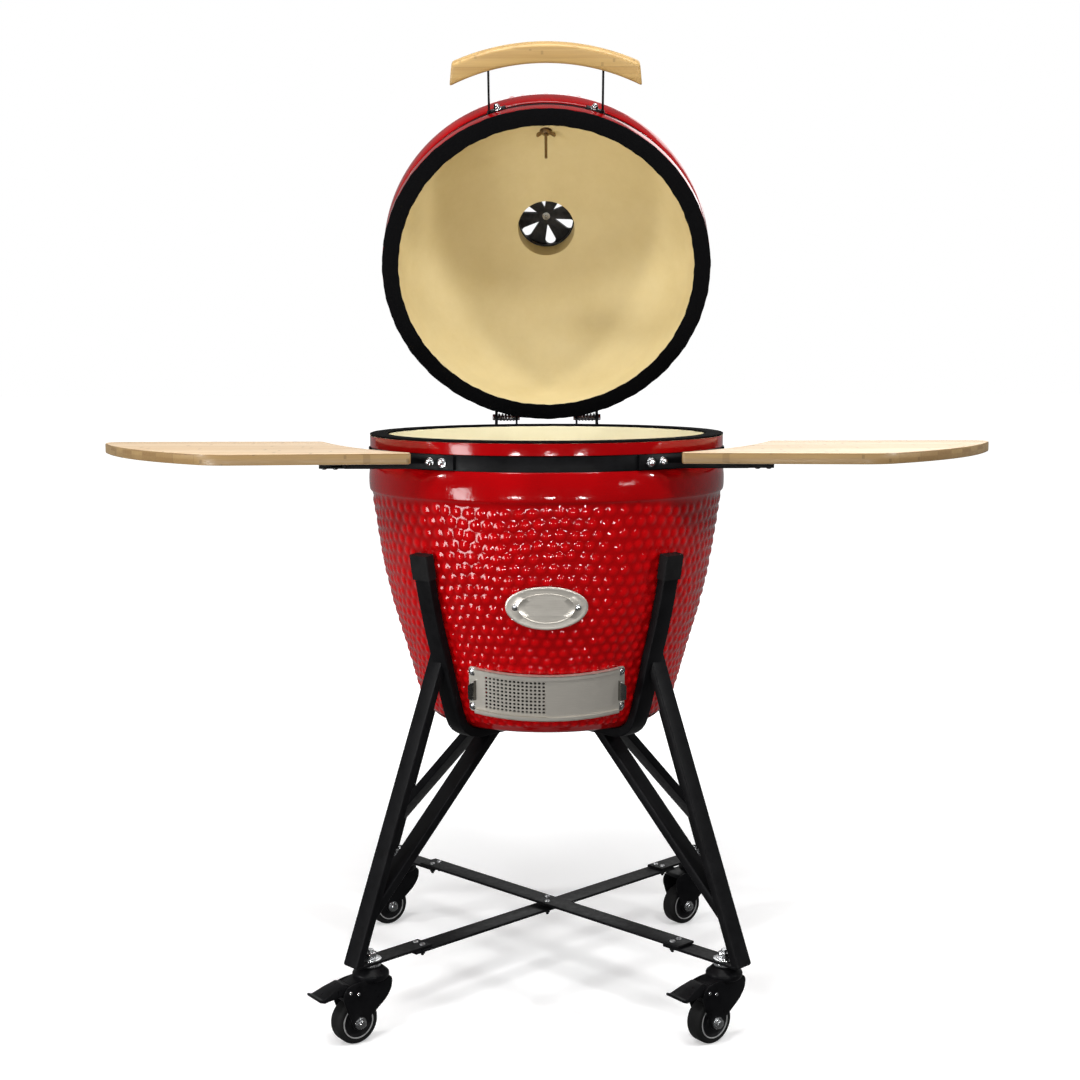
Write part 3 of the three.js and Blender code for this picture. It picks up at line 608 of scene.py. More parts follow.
def acorn_nut(size):
    dome = [(0, 0.5), (0.82, 0.5), (0.8, 0.9), (0.66, 1.3), (0.4, 1.58), (0, 1.66)]
    top = lathe([(size * r, size * z) for r, z in dome], 24)
    return joined(washer(size * 1.25), turned(hexagon(size, size * 0.8), (0, 0, 1)), top)


def hex_nut(size, stub):
    """A nut with a stub of its bolt's thread standing out of it."""
    r, top = size * 0.5, size * 0.9 + stub
    thread = lathe(rounded([(0, 0), (r, 0), (r, top), (0, top)], 0.5), 20)
    return joined(washer(size * 1.25), turned(hexagon(size, size * 0.85), (0, 0, 1)), thread)


def button_head(radius):
    """A domed head with a round socket in it."""
    dome = [(0.86, 0.38), (0.45, 0.56), (0.36, 0.56), (0.36, 0.2), (0, 0.2)]
    return lathe([(0, 0), (radius, 0), (radius, 0.5)] + [(radius * r, radius * z) for r, z in dome], 24)


def rivet(radius):
    dome = [(0, 0), (1, 0), (0.94, 0.3), (0.6, 0.62), (0, 0.72)]
    return lathe([(radius * r, radius * z) for r, z in dome], 20)


def aimed(point, direction, spin=0.0):
    """A placement for a fastener: its foot at a point, its head towards a direction."""
    turn = Vector(direction).to_track_quat("Z", "Y").to_matrix().to_4x4()
    return Matrix.Translation(point) @ turn @ Matrix.Rotation(spin, 4, "Z")


def fasten(name, head, place, body, radius, angle, z, finish=ZINC, spin=0.0):
    """A fastener on a cylinder round Z, its head outwards. The angle is from -Y towards +X."""
    out = Vector((math.sin(angle), -math.cos(angle), 0))
    put(name, head, place @ aimed(out * radius + Vector((0, 0, z)), out, spin), body, finish)


# ---- Glazed ceramic ----


def smooth_curve(control, steps):
    """A Catmull-Rom curve through control points."""
    pts = [Vector(p) for p in control]
    pts = [pts[0]] + pts + [pts[-1]]
    out = []
    for i in range(1, len(pts) - 2):
        a, b, c, d = pts[i - 1:i + 3]
        for t in np.arange(steps) / steps:
            out.append(0.5 * (2 * b + (c - a) * t + (2 * a - 5 * b + 4 * c - d) * t ** 2
                              + (3 * b - a - 3 * c + d) * t ** 3))
    return [tuple(p) for p in out] + [tuple(pts[-1])]


def resampled(points, step):
    """Points about a step apart along a curve."""
    points = np.array(points, float)
    run = run_of(points)
    at = np.linspace(0, run[-1], max(2, int(round(run[-1] / step))) + 1)
    return np.stack([np.interp(at, run, points[:, 0]), np.interp(at, run, points[:, 1])], 1)


def dimpled(side, rows_of_buttons, columns):
    """Buttons raised on a side of (radius, height) points. Each row is (arc length, radius, count)."""
    random = np.random.default_rng(7)
    run = run_of(side)
    angles = turns(columns)
    best = np.full((len(side), columns), -9.0)
    for index, (at, row_r, count) in enumerate(rows_of_buttons):
        phase = math.pi / count * (index % 2)
        size = 0.455 * 2 * math.pi * row_r / count
        turn = turns(count)
        wander = 1.7 * np.sin(5 * turn + 0.35 * index) + 1.3 * np.sin(11 * turn + 1.9 - 0.3 * index)
        shift_a = random.normal(0, 0.085, count)
        shift_s = random.normal(0, 1.15, count) + wander
        sizes = size * random.uniform(0.88, 1.04, count)
        tops = BUTTON_RISE * random.uniform(0.8, 1.1, count)
        nearest = np.round((angles - phase) * count / (2 * math.pi)).astype(int) % count
        centre = phase + 2 * math.pi * (nearest + shift_a[nearest]) / count
        across = (angles - centre + math.pi) % (2 * math.pi) - math.pi
        near = np.nonzero(np.abs(run - at) < size * 2.1)[0]
        along = run[near][:, None] - at - shift_s[nearest]
        far = ((across * side[near, 0][:, None]) ** 2 + along ** 2) / sizes[nearest] ** 2
        best[near] = np.maximum(best[near], tops[nearest] * (1 - far))
    edge = 0.12
    return 0.5 * (best + np.sqrt(best ** 2 + edge ** 2))


def ceramic(name, node, place, body, finish, before, side, rows, after, inner, columns, hole=None):
    """A closed ceramic shell: plain rings, a dimpled side, more plain rings, and the bare inside."""
    rise = dimpled(side, rows, columns)
    plain = [np.repeat(np.array(rings, float)[..., None], columns, 2) for rings in (before, after + inner)]
    raised = side[..., None] + outward(side)[..., None] * rise[:, None]
    rings = np.concatenate([plain[0], raised, plain[1]])
    heights = np.zeros((len(rings), columns))
    heights[len(before):len(before) + len(side)] = rise / BUTTON_RISE
    points, faces = spun(rings[:, 0], rings[:, 1], columns)
    bare_from = len(before) + len(side) + len(after) - 1
    made = bmesh.new()
    layer = made.verts.layers.float.new("rise")
    verts = []
    for point, height in zip(points, heights.ravel()):
        verts.append(made.verts.new(point))
        verts[-1][layer] = height
    for number, face in enumerate(faces):
        is_bare = bare_from <= number // columns < len(rings) - 1
        made.faces.new([verts[i] for i in face]).material_index = int(is_bare)
    bmesh.ops.remove_doubles(made, verts=made.verts, dist=0.002)
    if hole:
        cut_square(made, *hole)
    put(name, made, place, body, finish, (node,), smooth=38)


def cut_square(made, x_limit, z_low, z_high):
    """Opens a square hole through the front wall and joins its two rims."""
    gone = []
    for f in made.faces:
        c = f.calc_center_median()
        if abs(c.x) < x_limit and c.y < -100 and z_low < c.z < z_high:
            gone.append(f)
    bmesh.ops.delete(made, geom=gone, context="FACES")
    bmesh.ops.bridge_loops(made, edges=[e for e in made.edges if e.is_boundary])
    facing_out(made)


def bowl():
    side = resampled(smooth_curve(BOWL_SIDE[1:], 12), 2.3)
    run = run_of(side)
    rows, at = [], run[-1] - 7
    while at > 6:
        r = float(np.interp(at, run, side[:, 0]))
        rows.append((at, r, BUTTONS_AROUND))
        at -= 0.9 * 2 * math.pi * r / BUTTONS_AROUND
    foot = [(0, 426), (150, 426), (166, 427.5), (174, 430.5)]
    rim = rounded(
        [(267.5, 773), (271, 776.5), (BULGE_R, 784), (BULGE_R, 799), (270.4, 811), (268, 818),
         (GROOVE_R, 818), (GROOVE_R, 841), (RIM_R, 841), (RIM_R, 858.1)],
        [2, 2, 4, 5, 4, 1, 0.4, 0.4, 0.9, 2.5], closed=False,
    )
    inner = rounded(
        [(RIM_R - 3, 858.1), (RIM_INNER_R, 858.1), (RIM_INNER_R, 800), (237, 745), (222, 665), (205, 590),
         (187, 522), (170, 484), (142, 456), (0, 456)],
        [0, 2, 20, 30, 30, 30, 30, 20, 12, 0], closed=False,
    )
    ceramic("bowl_ceramic", "base_bowl", STAND, "body", PALE, foot, side, rows, rim, inner,
            8 * BUTTONS_AROUND, (88, 463, 515))


def dome(radius, centre, rise, end_r, steps, start=0.0):
    """A quarter of an oval, up to the radius end_r."""
    angles = np.linspace(start, math.acos(end_r / radius), steps + 1)
    return [(radius * math.cos(t), centre + rise * math.sin(t)) for t in angles]


def lid():
    base = GASKET_T + 0.6
    row_gap, button_gap = 16.6, 18.6
    side = resampled(dome(RIM_R, 70, 168, 72, 60, start=0.12), 2.5)
    run = run_of(side)
    rows, at = [], 19.0
    while at < run[-1] - 8:
        r = float(np.interp(at, run, side[:, 0]))
        rows.append((at, r, int(round(2 * math.pi * r / button_gap))))
        at += row_gap
    rim = rounded(
        [(RIM_R, base), (RIM_R + 0.8, STRAP[0]), (GROOVE_R, STRAP[0]), (GROOVE_R, STRAP[1]), (268, STRAP[1]),
         (270.4, 50), (BULGE_R, 62), (BULGE_R, 76), (270.5, 83)],
        [0, 0.9, 0.4, 0.4, 1, 4, 5, 4, 2], closed=False,
    )
    neck = [(69, 234.5), (63.5, 237.5), (NECK_R, 241), (NECK_R, NECK_TOP)]
    neck = rounded(neck, [2, 2, 2, 1], closed=False)
    inner = dome(RIM_INNER_R, 45, 163, CHIMNEY_R, 40)[::-1]
    inner = [(CHIMNEY_R, NECK_TOP), *inner, (RIM_INNER_R, base + 2), (RIM_INNER_R + 2, base)]
    ceramic("lid_ceramic", "lid_dome", LID, "lid", CREAM, rim, side, rows, neck, inner, 560)


def felt_ring(name, node, low_z, high_z, place, body):
    """Felt with a slightly ragged edge."""
    random = np.random.default_rng(3)
    made = rod(RIM_INNER_R, RIM_R, low_z, high_z, 1.1, 360)
    for v in made.verts:
        angle = math.atan2(v.co.x, v.co.y)
        ripple = 0.35 * math.sin(angle * 31 + 1) + 0.3 * math.sin(angle * 67) + random.normal(0, 0.12)
        scale = 1 + ripple / math.hypot(v.co.x, v.co.y)
        v.co.x *= scale
        v.co.y *= scale
    put(name, made, place, body, FELT, (node,), smooth=60)


def fire_parts():
    shell = rounded(
        [(134, 456.3), (158, 482), (172, 520), (199, 640), (179, 640), (156, 540), (122, 540), (122, 528),
         (134, 520), (122, 456.3)], [2, 8, 12, 3, 3, 4, 2, 2, 6, 2],
    )
    box = lathe(shell, 120)
    cut_square(box, 60, 466, 512)
    put("fire_box_clay", box, STAND, "body", CLAY, ("fire_box",))
    ring = rounded([(179, 640.3), (199, 640.3), (225, 812), (205, 812)], 3)
    put("fire_ring_clay", lathe(ring, 120), STAND, "body", CLAY, ("fire_ring",))
    slots = []
    for y in range(-102, 103, 34):
        half = math.sqrt(125 ** 2 - y ** 2)
        slots.append(rounded([(-half, y - 6), (-half, y + 6), (half, y + 6), (half, y - 6)], 5.5))
    grate = plate([circle(0, 0, 151.6, 96)] + slots, 540.4, 549, 1.2)
    put("charcoal_grate_iron", grate, STAND, "body", IRON, ("charcoal_grate",))
    hoop_r, hoop_z = 218, 815.3
    rods = [wire([(*p, hoop_z) for p in circle(0, 0, hoop_r, 120)], 3.2, 12, closed=True)]
    for x in range(-198, 199, 22):
        half = math.sqrt(hoop_r ** 2 - x ** 2)
        rods.append(wire([(x, y, hoop_z) for y in (-half, 0, half)], 2.4, 12))
    put("cooking_grid", joined(*rods), STAND, "body", GRID, ("cooking_grate",))


bowl()
lid()
felt_ring("bowl_felt", "base_gasket", 858.4, 861.2, STAND, "body")
felt_ring("lid_felt", "lid_gasket", 0.3, 3.1, LID, "lid")
strap = rod(GROOVE_R + 0.3, STRAP_R, 818.3, 840.7, 0.6, 240, 2)
put("bowl_strap", strap, STAND, "body", COAT, ("base_band",))
strap = rod(GROOVE_R + 0.3, STRAP_R - 1, STRAP[0] + 0.3, STRAP[1] - 0.3, 0.6, 240, 2)
put("lid_strap", strap, LID, "lid", COAT, ("lid_band",))
fire_parts()

# ---- Draft doors, on their own leaning cylinder ----


def bent(radius, thick, angles, heights, keep=None, holes=None):
    """A sheet on a cylinder, in cells. keep says if a cell is there, and holes how wide its hole is."""
    made = bmesh.new()
    cache = {}

    def corner(angle, height, level):
        key = (round(angle, 7), round(height, 5), level)
        if key not in cache:
            r = radius + level * thick
            cache[key] = made.verts.new((r * math.sin(angle), -r * math.cos(angle), height))
        return cache[key]

    square = [(-1, -1), (0, -1), (1, -1), (1, 0), (1, 1), (0, 1), (-1, 1), (-1, 0)]
    loops = []
    for i, (a0, a1) in enumerate(zip(angles, angles[1:])):
        for j, (h0, h1) in enumerate(zip(heights, heights[1:])):
            if keep and not keep(i, j):
                continue
            share = holes(i, j) if holes else 0
            if not share:
                loops.append([(a0, h0), (a1, h0), (a1, h1), (a0, h1)])
                continue
            am, hm, da, dh = (a0 + a1) / 2, (h0 + h1) / 2, (a1 - a0) / 2, (h1 - h0) / 2
            outer = [(am + da * x, hm + dh * z) for x, z in square]
            # the hole's eight corners lie a little in and out of its circle, as a punched hole does
            reach = [share * (1.06 if x and z else 0.94) / math.hypot(x, z) for x, z in square]
            inner = [(am + da * x * r, hm + dh * z * r) for (x, z), r in zip(square, reach)]
            loops += [[outer[k], outer[k - 7], inner[k - 7], inner[k]] for k in range(8)]
    for level in (0, 1):
        for loop in loops:
            made.faces.new([corner(a, h, level) for a, h in (loop if level else loop[::-1])])
    keys = {v: key for key, v in cache.items()}
    for e in [e for e in made.edges if e.is_boundary and all(keys[v][2] for v in e.verts)]:
        a, b = e.verts
        made.faces.new([a, b, cache[(*keys[b][:2], 0)], cache[(*keys[a][:2], 0)]])
    return facing_out(made)


def spaced(start, end, count):
    return list(np.linspace(start, end, count + 1))


def draft_parts():
    flange, half, lip, door_half = math.radians(31.8), 36, 6, 33.4
    window, window_h = 0.455, 25
    margin = spaced(window, 0.54, 3)[1:] + [flange]
    angles = [-a for a in margin[::-1]] + spaced(-window, window, 36) + margin
    sheet = bent(DOOR_R + 1.5, 1.5, angles, [-half, -window_h, window_h, half],
                 lambda i, j: j != 1 or not 4 <= i < 40)
    for v in sheet.verts:
        # the sheet's outer corners are cut off
        if abs(v.co.z) > half - 0.1 and abs(math.atan2(v.co.x, -v.co.y)) > flange - 0.001:
            v.co.z *= 0.88
    rails = []
    for side in (-1, 1):
        along = spaced(-FRAME_END, FRAME_END, 44)
        rails.append(bent(DOOR_R + 1.5, 7.1, along, sorted((side * half, side * (half - 1.6)))))
        rails.append(bent(DOOR_R + 7.4, 1.2, along, sorted((side * half, side * (half - lip)))))
    put("draft_frame_steel", joined(sheet, *rails), DRAFT, "body", STEEL, ("draft_frame",))
    step_a, step_h, screen_r, door_r = 0.0283, 5.9, 3.5, 5.4
    cells_a = [-0.505] + [-0.431 + step_a * k for k in range(16)] + [0.02]
    cells_h = [-door_half] + [step_h * (k - 4.5) for k in range(10)] + [door_half]
    screen = bent(DOOR_R + screen_r, 1.2, cells_a, cells_h, None,
                  lambda i, j: 0.68 if 1 <= i < len(cells_a) - 2 and 1 <= j < len(cells_h) - 2 else 0)
    put("screen_door_steel", screen, DRAFT, "screen", STEEL, ("screen_door",))
    door = bent(DOOR_R + door_r, 1.2, spaced(-0.005, 0.505, 24), [-door_half, door_half])
    put("draft_door_steel", door, DRAFT, "door", STEEL, ("draft_door",))
    put("screen_pull", finger_pull(-1, screen_r), DRAFT, "screen", TAB)
    put("door_pull", finger_pull(1, door_r), DRAFT, "door", TAB)
    for number, (x, z) in enumerate([(-1, 1), (1, 1), (-1, -1), (1, -1)]):
        head = joined(washer(6.2, 0.9), turned(button_head(4.6), (0, 0, 0.8)))
        fasten(f"frame_screw_{number}", head, DRAFT, "body", DOOR_R + 3, x * 0.526, z * 28)


def finger_pull(sign, offset):
    """The turned-out end of a sliding sheet, curled into a grip."""
    sheets = []
    for level in (0, 1):
        rows = []
        for t in spaced(0, 1, 8):
            angle = sign * (FRAME_END - 0.001 + 0.026 * t ** 1.5)
            r = DOOR_R + offset + 1.2 + t * 12
            x, y = r * math.sin(angle) - sign * level * 1.1, -r * math.cos(angle)
            rows.append([(x, y, share * (16 - 5 * t * t)) for share in (-1, -0.55, 0, 0.55, 1)])
        sheets.append(mesh_of(*grid(rows, close_columns=False, flip=not level)))
    made = joined(*sheets)
    bmesh.ops.bridge_loops(made, edges=[e for e in made.edges if e.is_boundary])
    return facing_out(made)


def badge():
    """An oval plate with a raised oval line and a rolled edge."""
    bend_r, front_r, back_r = BADGE_R + 2, BADGE_R + 4, BADGE_R + 2.4
    levels = [(0, 0), (0.25, 0), (0.5, 0), (0.655, 0), (0.67, 0.8), (0.69, 0.8), (0.705, 0), (0.9, 0),
              (0.95, 0.3), (0.985, 0.1), (1, -0.5), (1, back_r - front_r), (0, back_r - front_r)]
    turn = turns(96)
    rings = []
    for share, lift in levels:
        r, along = front_r + lift, 59 * share * np.cos(turn) / bend_r
        rings.append(np.stack([r * np.sin(along), -r * np.cos(along), 32.5 * share * np.sin(turn)], -1))
    made = facing_out(mesh_of(*grid(rings)))
    put("badge_oval", made, BADGE, "body", STEEL, ("badge_plate",), smooth=50)
    for side, name in SIDES:
        head = joined(washer(4.6, 0.7), turned(rivet(3.2), (0, 0, 0.6)))
        fasten("badge_rivet_" + name, head, BADGE, "body", front_r, side * 44.5 / bend_r, 0)


draft_parts()
badge()

# ---- Lid: handle, thermometer, vent ----


def handle():
    """A bamboo bar bent round the lid, thinner at its ends, on two brackets."""
    centre_r, half_r, centre_h, half_h, length, slant = 350, 15, 31, 12, 149.0, math.tan(math.radians(6.5))
    section = rounded([(-half_r, -half_h), (half_r, -half_h), (half_r, half_h), (-half_r, half_h)], 5.5, 4)
    rows = []
    for u in [-1, -0.992, -0.975, *np.linspace(-0.95, 0.95, 50), 0.975, 0.992, 1]:
        shrink = {1: 0.86, 0.992: 0.96}.get(abs(u), 1.0)
        row = []
        for rho, h in section:
            r = centre_r + rho * shrink
            angle = u * math.asin((length - rho * slant) / r)
            row.append((r * math.sin(angle), -r * math.cos(angle), centre_h + h * shrink))
        rows.append(row)
    put("handle_bamboo", swept(rows), LID, "lid", GRIP, ("lid_handle",), smooth=40)
    for side, name in SIDES:
        put_refined("handle_bracket_" + name, "lid", 0.4)
        angle = side * math.asin(76.5 / 271)
        fasten("handle_nut_" + name, acorn_nut(5.6), LID, "lid", STRAP_R + 3.3, angle, 31.5, spin=0.3 * side)
    # the straps' closing bolts
    for number, degrees in enumerate((127, 133.5)):
        angle = math.radians(degrees)
        fasten(f"lid_strap_bolt_{number}", hex_nut(4.4, 7.5), LID, "lid", STRAP_R, angle, STRAP_MIDDLE,
               BLACK_ZINC)
        fasten(f"bowl_strap_bolt_{number}", hex_nut(4.4, 3), STAND, "body", STRAP_R, -angle,
               RIM_Z - STRAP_MIDDLE, BLACK_ZINC)


def thermometer():
    at = moved((0, -215, 172), ("X", math.radians(41)), start=LID)
    glass_r = 20.9
    case = rounded([(0, 0.6), (9, 0.6), (9, 3), (24, 3), (24, 13), (21, 13), (21, 8.5), (0, 8.5)],
                   [0, 0.5, 0.5, 3, 2, 1, 0.4, 0], 4)
    stem = rounded([(0, -88), (2.4, -88), (2.4, -30), (3.1, -28), (3.1, 1.5), (0, 1.5)],
                   [0, 1.6, 0.3, 0.3, 0, 0])
    marks = []
    for k in range(41):
        length = 1.7 if k % 5 else 3.4
        mark = block(-0.22, 18.8 - length, 8.75, 0.22, 18.8, 8.95, 0.02)
        marks.append(turned(mark, ("Z", math.radians(-135 + 270 * k / 40))))
    marks.append(rod(19.3, 19.8, 8.75, 8.95, segments=72))
    pointer = plate([[(-6, -1), (4, -0.7), (17, -0.25), (17, 0.25), (4, 0.7), (-6, 1)]], 9.4, 10.2, 0.1)
    boss = lathe(rounded([(0, 8.9), (2.4, 8.9), (2.4, 11), (0, 11)], [0, 0.2, 0.6, 0]), 24)
    nut = [lathe(rounded([(3.3, -43), (6, -43), (7.5, -40), (7.5, -37), (3.3, -37)], 0.6), 30),
           rod(3.3, 10.5, -36.6, -35.2, 0.4, 30)]
    for side in (-1, 1):
        wing = [(side * 5, -42), (side * 14, -48.5), (side * 16.5, -46), (side * 15, -40), (side * 6, -37.4)]
        nut.append(upright(wing[::side], 2, 1.2, 0.4))
    for name, made, body, finish, *node in (
        ("body", lathe(case, 72), "lid", STEEL, "thermometer_case"),
        ("stem", lathe(stem, 24), "lid", BRASS),
        ("dial", rod(0, glass_r, 8.45, 8.8, segments=72), "lid", DIAL),
        ("marks", joined(*marks), "lid", MARKS),
        ("pointer", joined(pointer, boss), "needle", MARKS, "thermometer_needle"),
        ("glass", rod(0, glass_r, 11.3, 12.2, 0.2, 72), "lid", GLASS),
        ("wing_nut", joined(*nut), "lid", BRASS, "thermometer_nut"),
    ):
        put("thermometer_" + name, made, at, body, finish, node)


def drops():
    """Six drop-shaped openings, each a round end and a tip towards the centre."""
    radius, reach, tip, half = 9.3, 44.5, 14.5, 1.72
    holes = []
    for angle in turns(6) + math.radians(20):
        x, y = math.cos(angle), math.sin(angle)
        arc = [(reach * x + radius * math.cos(t), reach * y + radius * math.sin(t))
               for t in np.linspace(angle - half, angle + half, 13)]
        holes.append(rounded(arc + [(tip * x, tip * y)], [0] * 13 + [3]))
    return holes


def vent():
    collar = rounded(
        [(NECK_R + 0.8, 240), (71, 240), (71, COLLAR_TOP), (58, COLLAR_TOP), (58, 256), (47.5, 256),
         (47.5, NECK_TOP + 0.8), (NECK_R + 0.8, NECK_TOP + 0.8)], [1, 2.5, 3, 1.5, 1, 1, 1, 1],
    )
    boss = rounded([(0, 246), (10, 246), (10, COLLAR_TOP), (3, COLLAR_TOP), (3, 276.5), (0, 276.5)],
                   [0, 1, 1, 0, 0.8, 0])
    collar = joined(lathe(collar, 120), turned(lathe(boss, 32), (PIVOT_X, 0, 0)))
    put("vent_collar_iron", collar, LID, "lid", IRON, ("vent_collar",))
    # the disc's outline runs out to the lug that turns on the pivot
    rim = [circle(0, 0, 68, 96)[:48], circle(0, 0, 68, 96)[48:]]
    rim = [[p for p in half if p[0] >= -60 or abs(p[1]) >= 13] for half in rim]
    lug = [(PIVOT_X + 9 * math.cos(t), 9 * math.sin(t)) for t in np.radians(spaced(110, 250, 14))]
    centre, pivot = circle(0, 0, 4.5, 20), circle(PIVOT_X, 0, 3.6, 20)
    slide = plate([rim[0] + lug + rim[1], centre, pivot] + drops(), 267.3, 272, 0.6)
    put("vent_slide_iron", slide, LID, "vent_cap", IRON, ("vent_slide",))
    wheel = plate([circle(0, 0, 63, 96), centre] + drops(), 272.5, 276.5, 0.6)
    grip = block(55.5, -6, 273, 61, 6, 288, 1.4)
    put("daisy_wheel_iron", joined(wheel, grip), LID, "daisy", IRON, ("daisy_wheel",))
    screw = rounded(
        [(0, 265.9), (2.0, 265.9), (2.4, 267.2), (7, 267.3), (7, 269.0), (4, 269.1), (4, 276.9), (9, 276.9),
         (8.4, 282), (0, 284)], [0, 0.2, 0.2, 0.3, 0.3, 0, 0, 0.6, 2, 0],
    )
    put("vent_screw_zinc", lathe(screw, 30), LID, "vent_cap", ZINC, ("vent_screw",))
    put("vent_pivot_clip", washer(6.2, 1.6, 3.0), moved((PIVOT_X, 0, 272.4), start=LID), "lid", ZINC)


def arc_bar(inner, outer, low_z, high_z, start, end):
    """A bar bent round Z, from one angle to another."""
    section = rounded([(inner, low_z), (outer, low_z), (outer, high_z), (inner, high_z)], 0.5, 2)
    angles = spaced(start, end, 24)
    return swept([[(r * math.sin(a), -r * math.cos(a), z) for r, z in section] for a in angles])


def ear(x, thickness, outline):
    """A plate standing in the YZ plane at x, from an outline of (y, z) points."""
    made = plate([rounded(outline, 3)], -thickness / 2, thickness / 2, 0.5)
    made.transform(Matrix(((0, 0, 1, x), (1, 0, 0, 0), (0, 1, 0, 0), (0, 0, 0, 1))))
    return made


def lid_bracket():
    """A strip on the lid's strap with two boxes, each of two ears, a short brace and a bolt with a spring."""
    low_z, high_z = RIM_Z + 21.5, RIM_Z + 42.5
    outer = [(258, low_z), (272, 858), (288, 818), (300, 814), (311, 822), (311, 850), (290, high_z),
             (258, high_z)]
    inner = [(267.5, low_z), (273, 860), (284, 854), (304, 854), (311, 862), (290, high_z), (267.5, high_z)]
    pieces = [arc_bar(267.5, NUT_R, low_z, high_z, 2.72, 3.563)]
    for side in (-1, 1):
        near, far = sorted((side * 50.6, side * 88))
        pieces += [ear(side * 87, 4, outer), ear(side * 52, 3, inner),
                   block(near, 283, high_z - 12.5, far, 287, high_z)]
    put("hinge_lid_plates", joined(*pieces), LID_AT_REST, "lid", COAT, ("hinge_lid_bracket",))
    for side, name in SIDES:
        at = moved((0, 274, 878), ("Y", math.pi / 2), start=LID_AT_REST)
        heads = [turned(hexagon(6, 4.4), (0, 0, side * 89.1 - (4.4 if side < 0 else 0))),
                 turned(hexagon(6, 4), (0, 0, side * 50.3 - (4 if side > 0 else 0)))]
        shaft = rod(0, 3.2, *sorted((side * 48, side * 92)), 0.6, 20)
        put("lid_spring_bolt_" + name, joined(shaft, *heads), at, "lid", ZINC)
        path = coil(5.6, 101, 0.314, side * 56, side * 1.38 / 5)
        put("lid_spring_" + name, wire(path, 1.3), at, "lid", SPRING)


def coil(radius, count, step, start, rise):
    """Points round Z, each a step further round and a rise further along."""
    return [(radius * math.cos(step * k), radius * math.sin(step * k), start + rise * k)
            for k in range(count)]


def hinge():
    put_refined("hinge_base_bracket", "body")
    lid_bracket()
    axis = moved((0, HINGE_Y, HINGE_Z), ("Y", math.pi / 2))
    ends = [turned(hexagon(9, 5.8), (0, 0, 92.2)), turned(hexagon(9, 5.8), (0, 0, -98))]
    put("hinge_bolt", joined(rod(0, 5, -96, 96, 0.8, 28), *ends), axis, "body", ZINC, ("hinge_pin",))
    for side, name in SIDES:
        path = coil(8.5, 101, math.pi / 10, side * 62.5, side * 0.21) + [(8.5, 14.0, side * 83.6)]
        put("hinge_coil_" + name, wire(path, 1.9, 12), axis, "body", SPRING, ("hinge_spring_" + name,))
        for k, turn in enumerate((0.088, 0.256)):
            angle = math.pi + side * turn
            fasten(f"hinge_base_nut_{name}_{k}", acorn_nut(4.6), STAND, "body", NUT_R, angle,
                   RIM_Z - STRAP_MIDDLE)
            fasten(f"hinge_lid_nut_{name}_{k}", acorn_nut(4.6), LID, "lid", NUT_R, angle + side * 0.12,
                   STRAP_MIDDLE)


handle()
thermometer()
vent()
hinge()

# ---- Side shelves ----


def quadratic(start, control, end, steps=14):
    return [tuple((1 - t) ** 2 * Vector(start) + 2 * t * (1 - t) * Vector(control) + t * t * Vector(end))
            for t in np.linspace(0, 1, steps + 1)[1:]]


def board_outline():
    points = [(196, -240), (440, -262)]
    for control, end, steps in (
        ((472, -263), (492, -246), 14), ((628, -142), (686, 24), 24), ((692, 55), (660, 56), 14),
        (None, (358, 56), 1), ((350, 54), (345, 40), 6), ((284, -140), (192, -228), 24),
        ((187, -238), (196, -240), 6),
    ):
        points += quadratic(points[-1], control, end, steps) if control else [end]
    return points[:-1]


def shelf(side, name):
    place = STAND if side > 0 else STAND @ MIRROR
    body = "shelf_" + name
    board = plate([board_outline()], 828, 844, 2.2)
    board.normal_update()
    for face in board.faces:
        face.material_index = int(abs(face.normal.z) < 0.75)
    put("board_" + name, board, place, body, BOARD, ("shelf_board_" + name,))
    for end in ARM_Y:
        put_refined(f"shelf_arm_{name}_{end}", body)
        put_refined(f"shelf_mount_{name}_{end}", "body", 0.4)
    for x, y in ((300, ARM_Y["front"]), (400, ARM_Y["rear"]), (316, ARM_Y["front"])):
        put(f"arm_screw_{name}_{x}", button_head(4.0), place @ aimed((x, y, 820.3), (0, 0, -1)), body, ZINC)
    for number, angle in enumerate((0.568, 0.648)):
        fasten(f"mount_nut_{name}_{number}", acorn_nut(5.4), place, "body", NUT_R, angle,
               RIM_Z - STRAP_MIDDLE, spin=0.25)
    for end, y in ARM_Y.items():
        heads = joined(turned(rivet(3.6), (0, 0, 18.2)), turned(rivet(3.6), FLIP, (0, 0, 18.2)))
        put(f"fold_pin_{name}_{end}", heads, moved((FOLD_X, y, 824), LIE, start=place), "body", CAP)


for side, name in SIDES:
    shelf(side, name)

# ---- Stand ----


def bowl_radius(z):
    curve = smooth_curve(BOWL_SIDE, 8)
    return float(np.interp(z, [p[1] for p in curve], [p[0] for p in curve]))


def clear_of_bowl(made, room):
    """Moves points that lie within the bowl's clearance out to it."""
    for v in made.verts:
        r = math.hypot(v.co.x, v.co.y)
        if 426 < v.co.z < 770 and r < bowl_radius(v.co.z) + room:
            scale = (bowl_radius(v.co.z) + room) / r
            v.co.x *= scale
            v.co.y *= scale
    return made


def cradle_strip(inner, outer, half_width, radius, azimuth):
    """A bar bent in an upright plane between two lines of points, with rounded edges, at an azimuth."""
    rows = []
    for (x0, z0), (x1, z1) in zip(inner, outer):
        a, b = Vector((x0, 0, z0)), Vector((x1, 0, z1))
        thick, out = (b - a).length, (b - a).normalized()
        section = [(0, -half_width), (thick, -half_width), (thick, half_width), (0, half_width)]
        rows.append([tuple(a + out * s + Vector((0, w, 0))) for s, w in rounded(section, radius)])
    return turned(swept(rows), ("Z", azimuth))


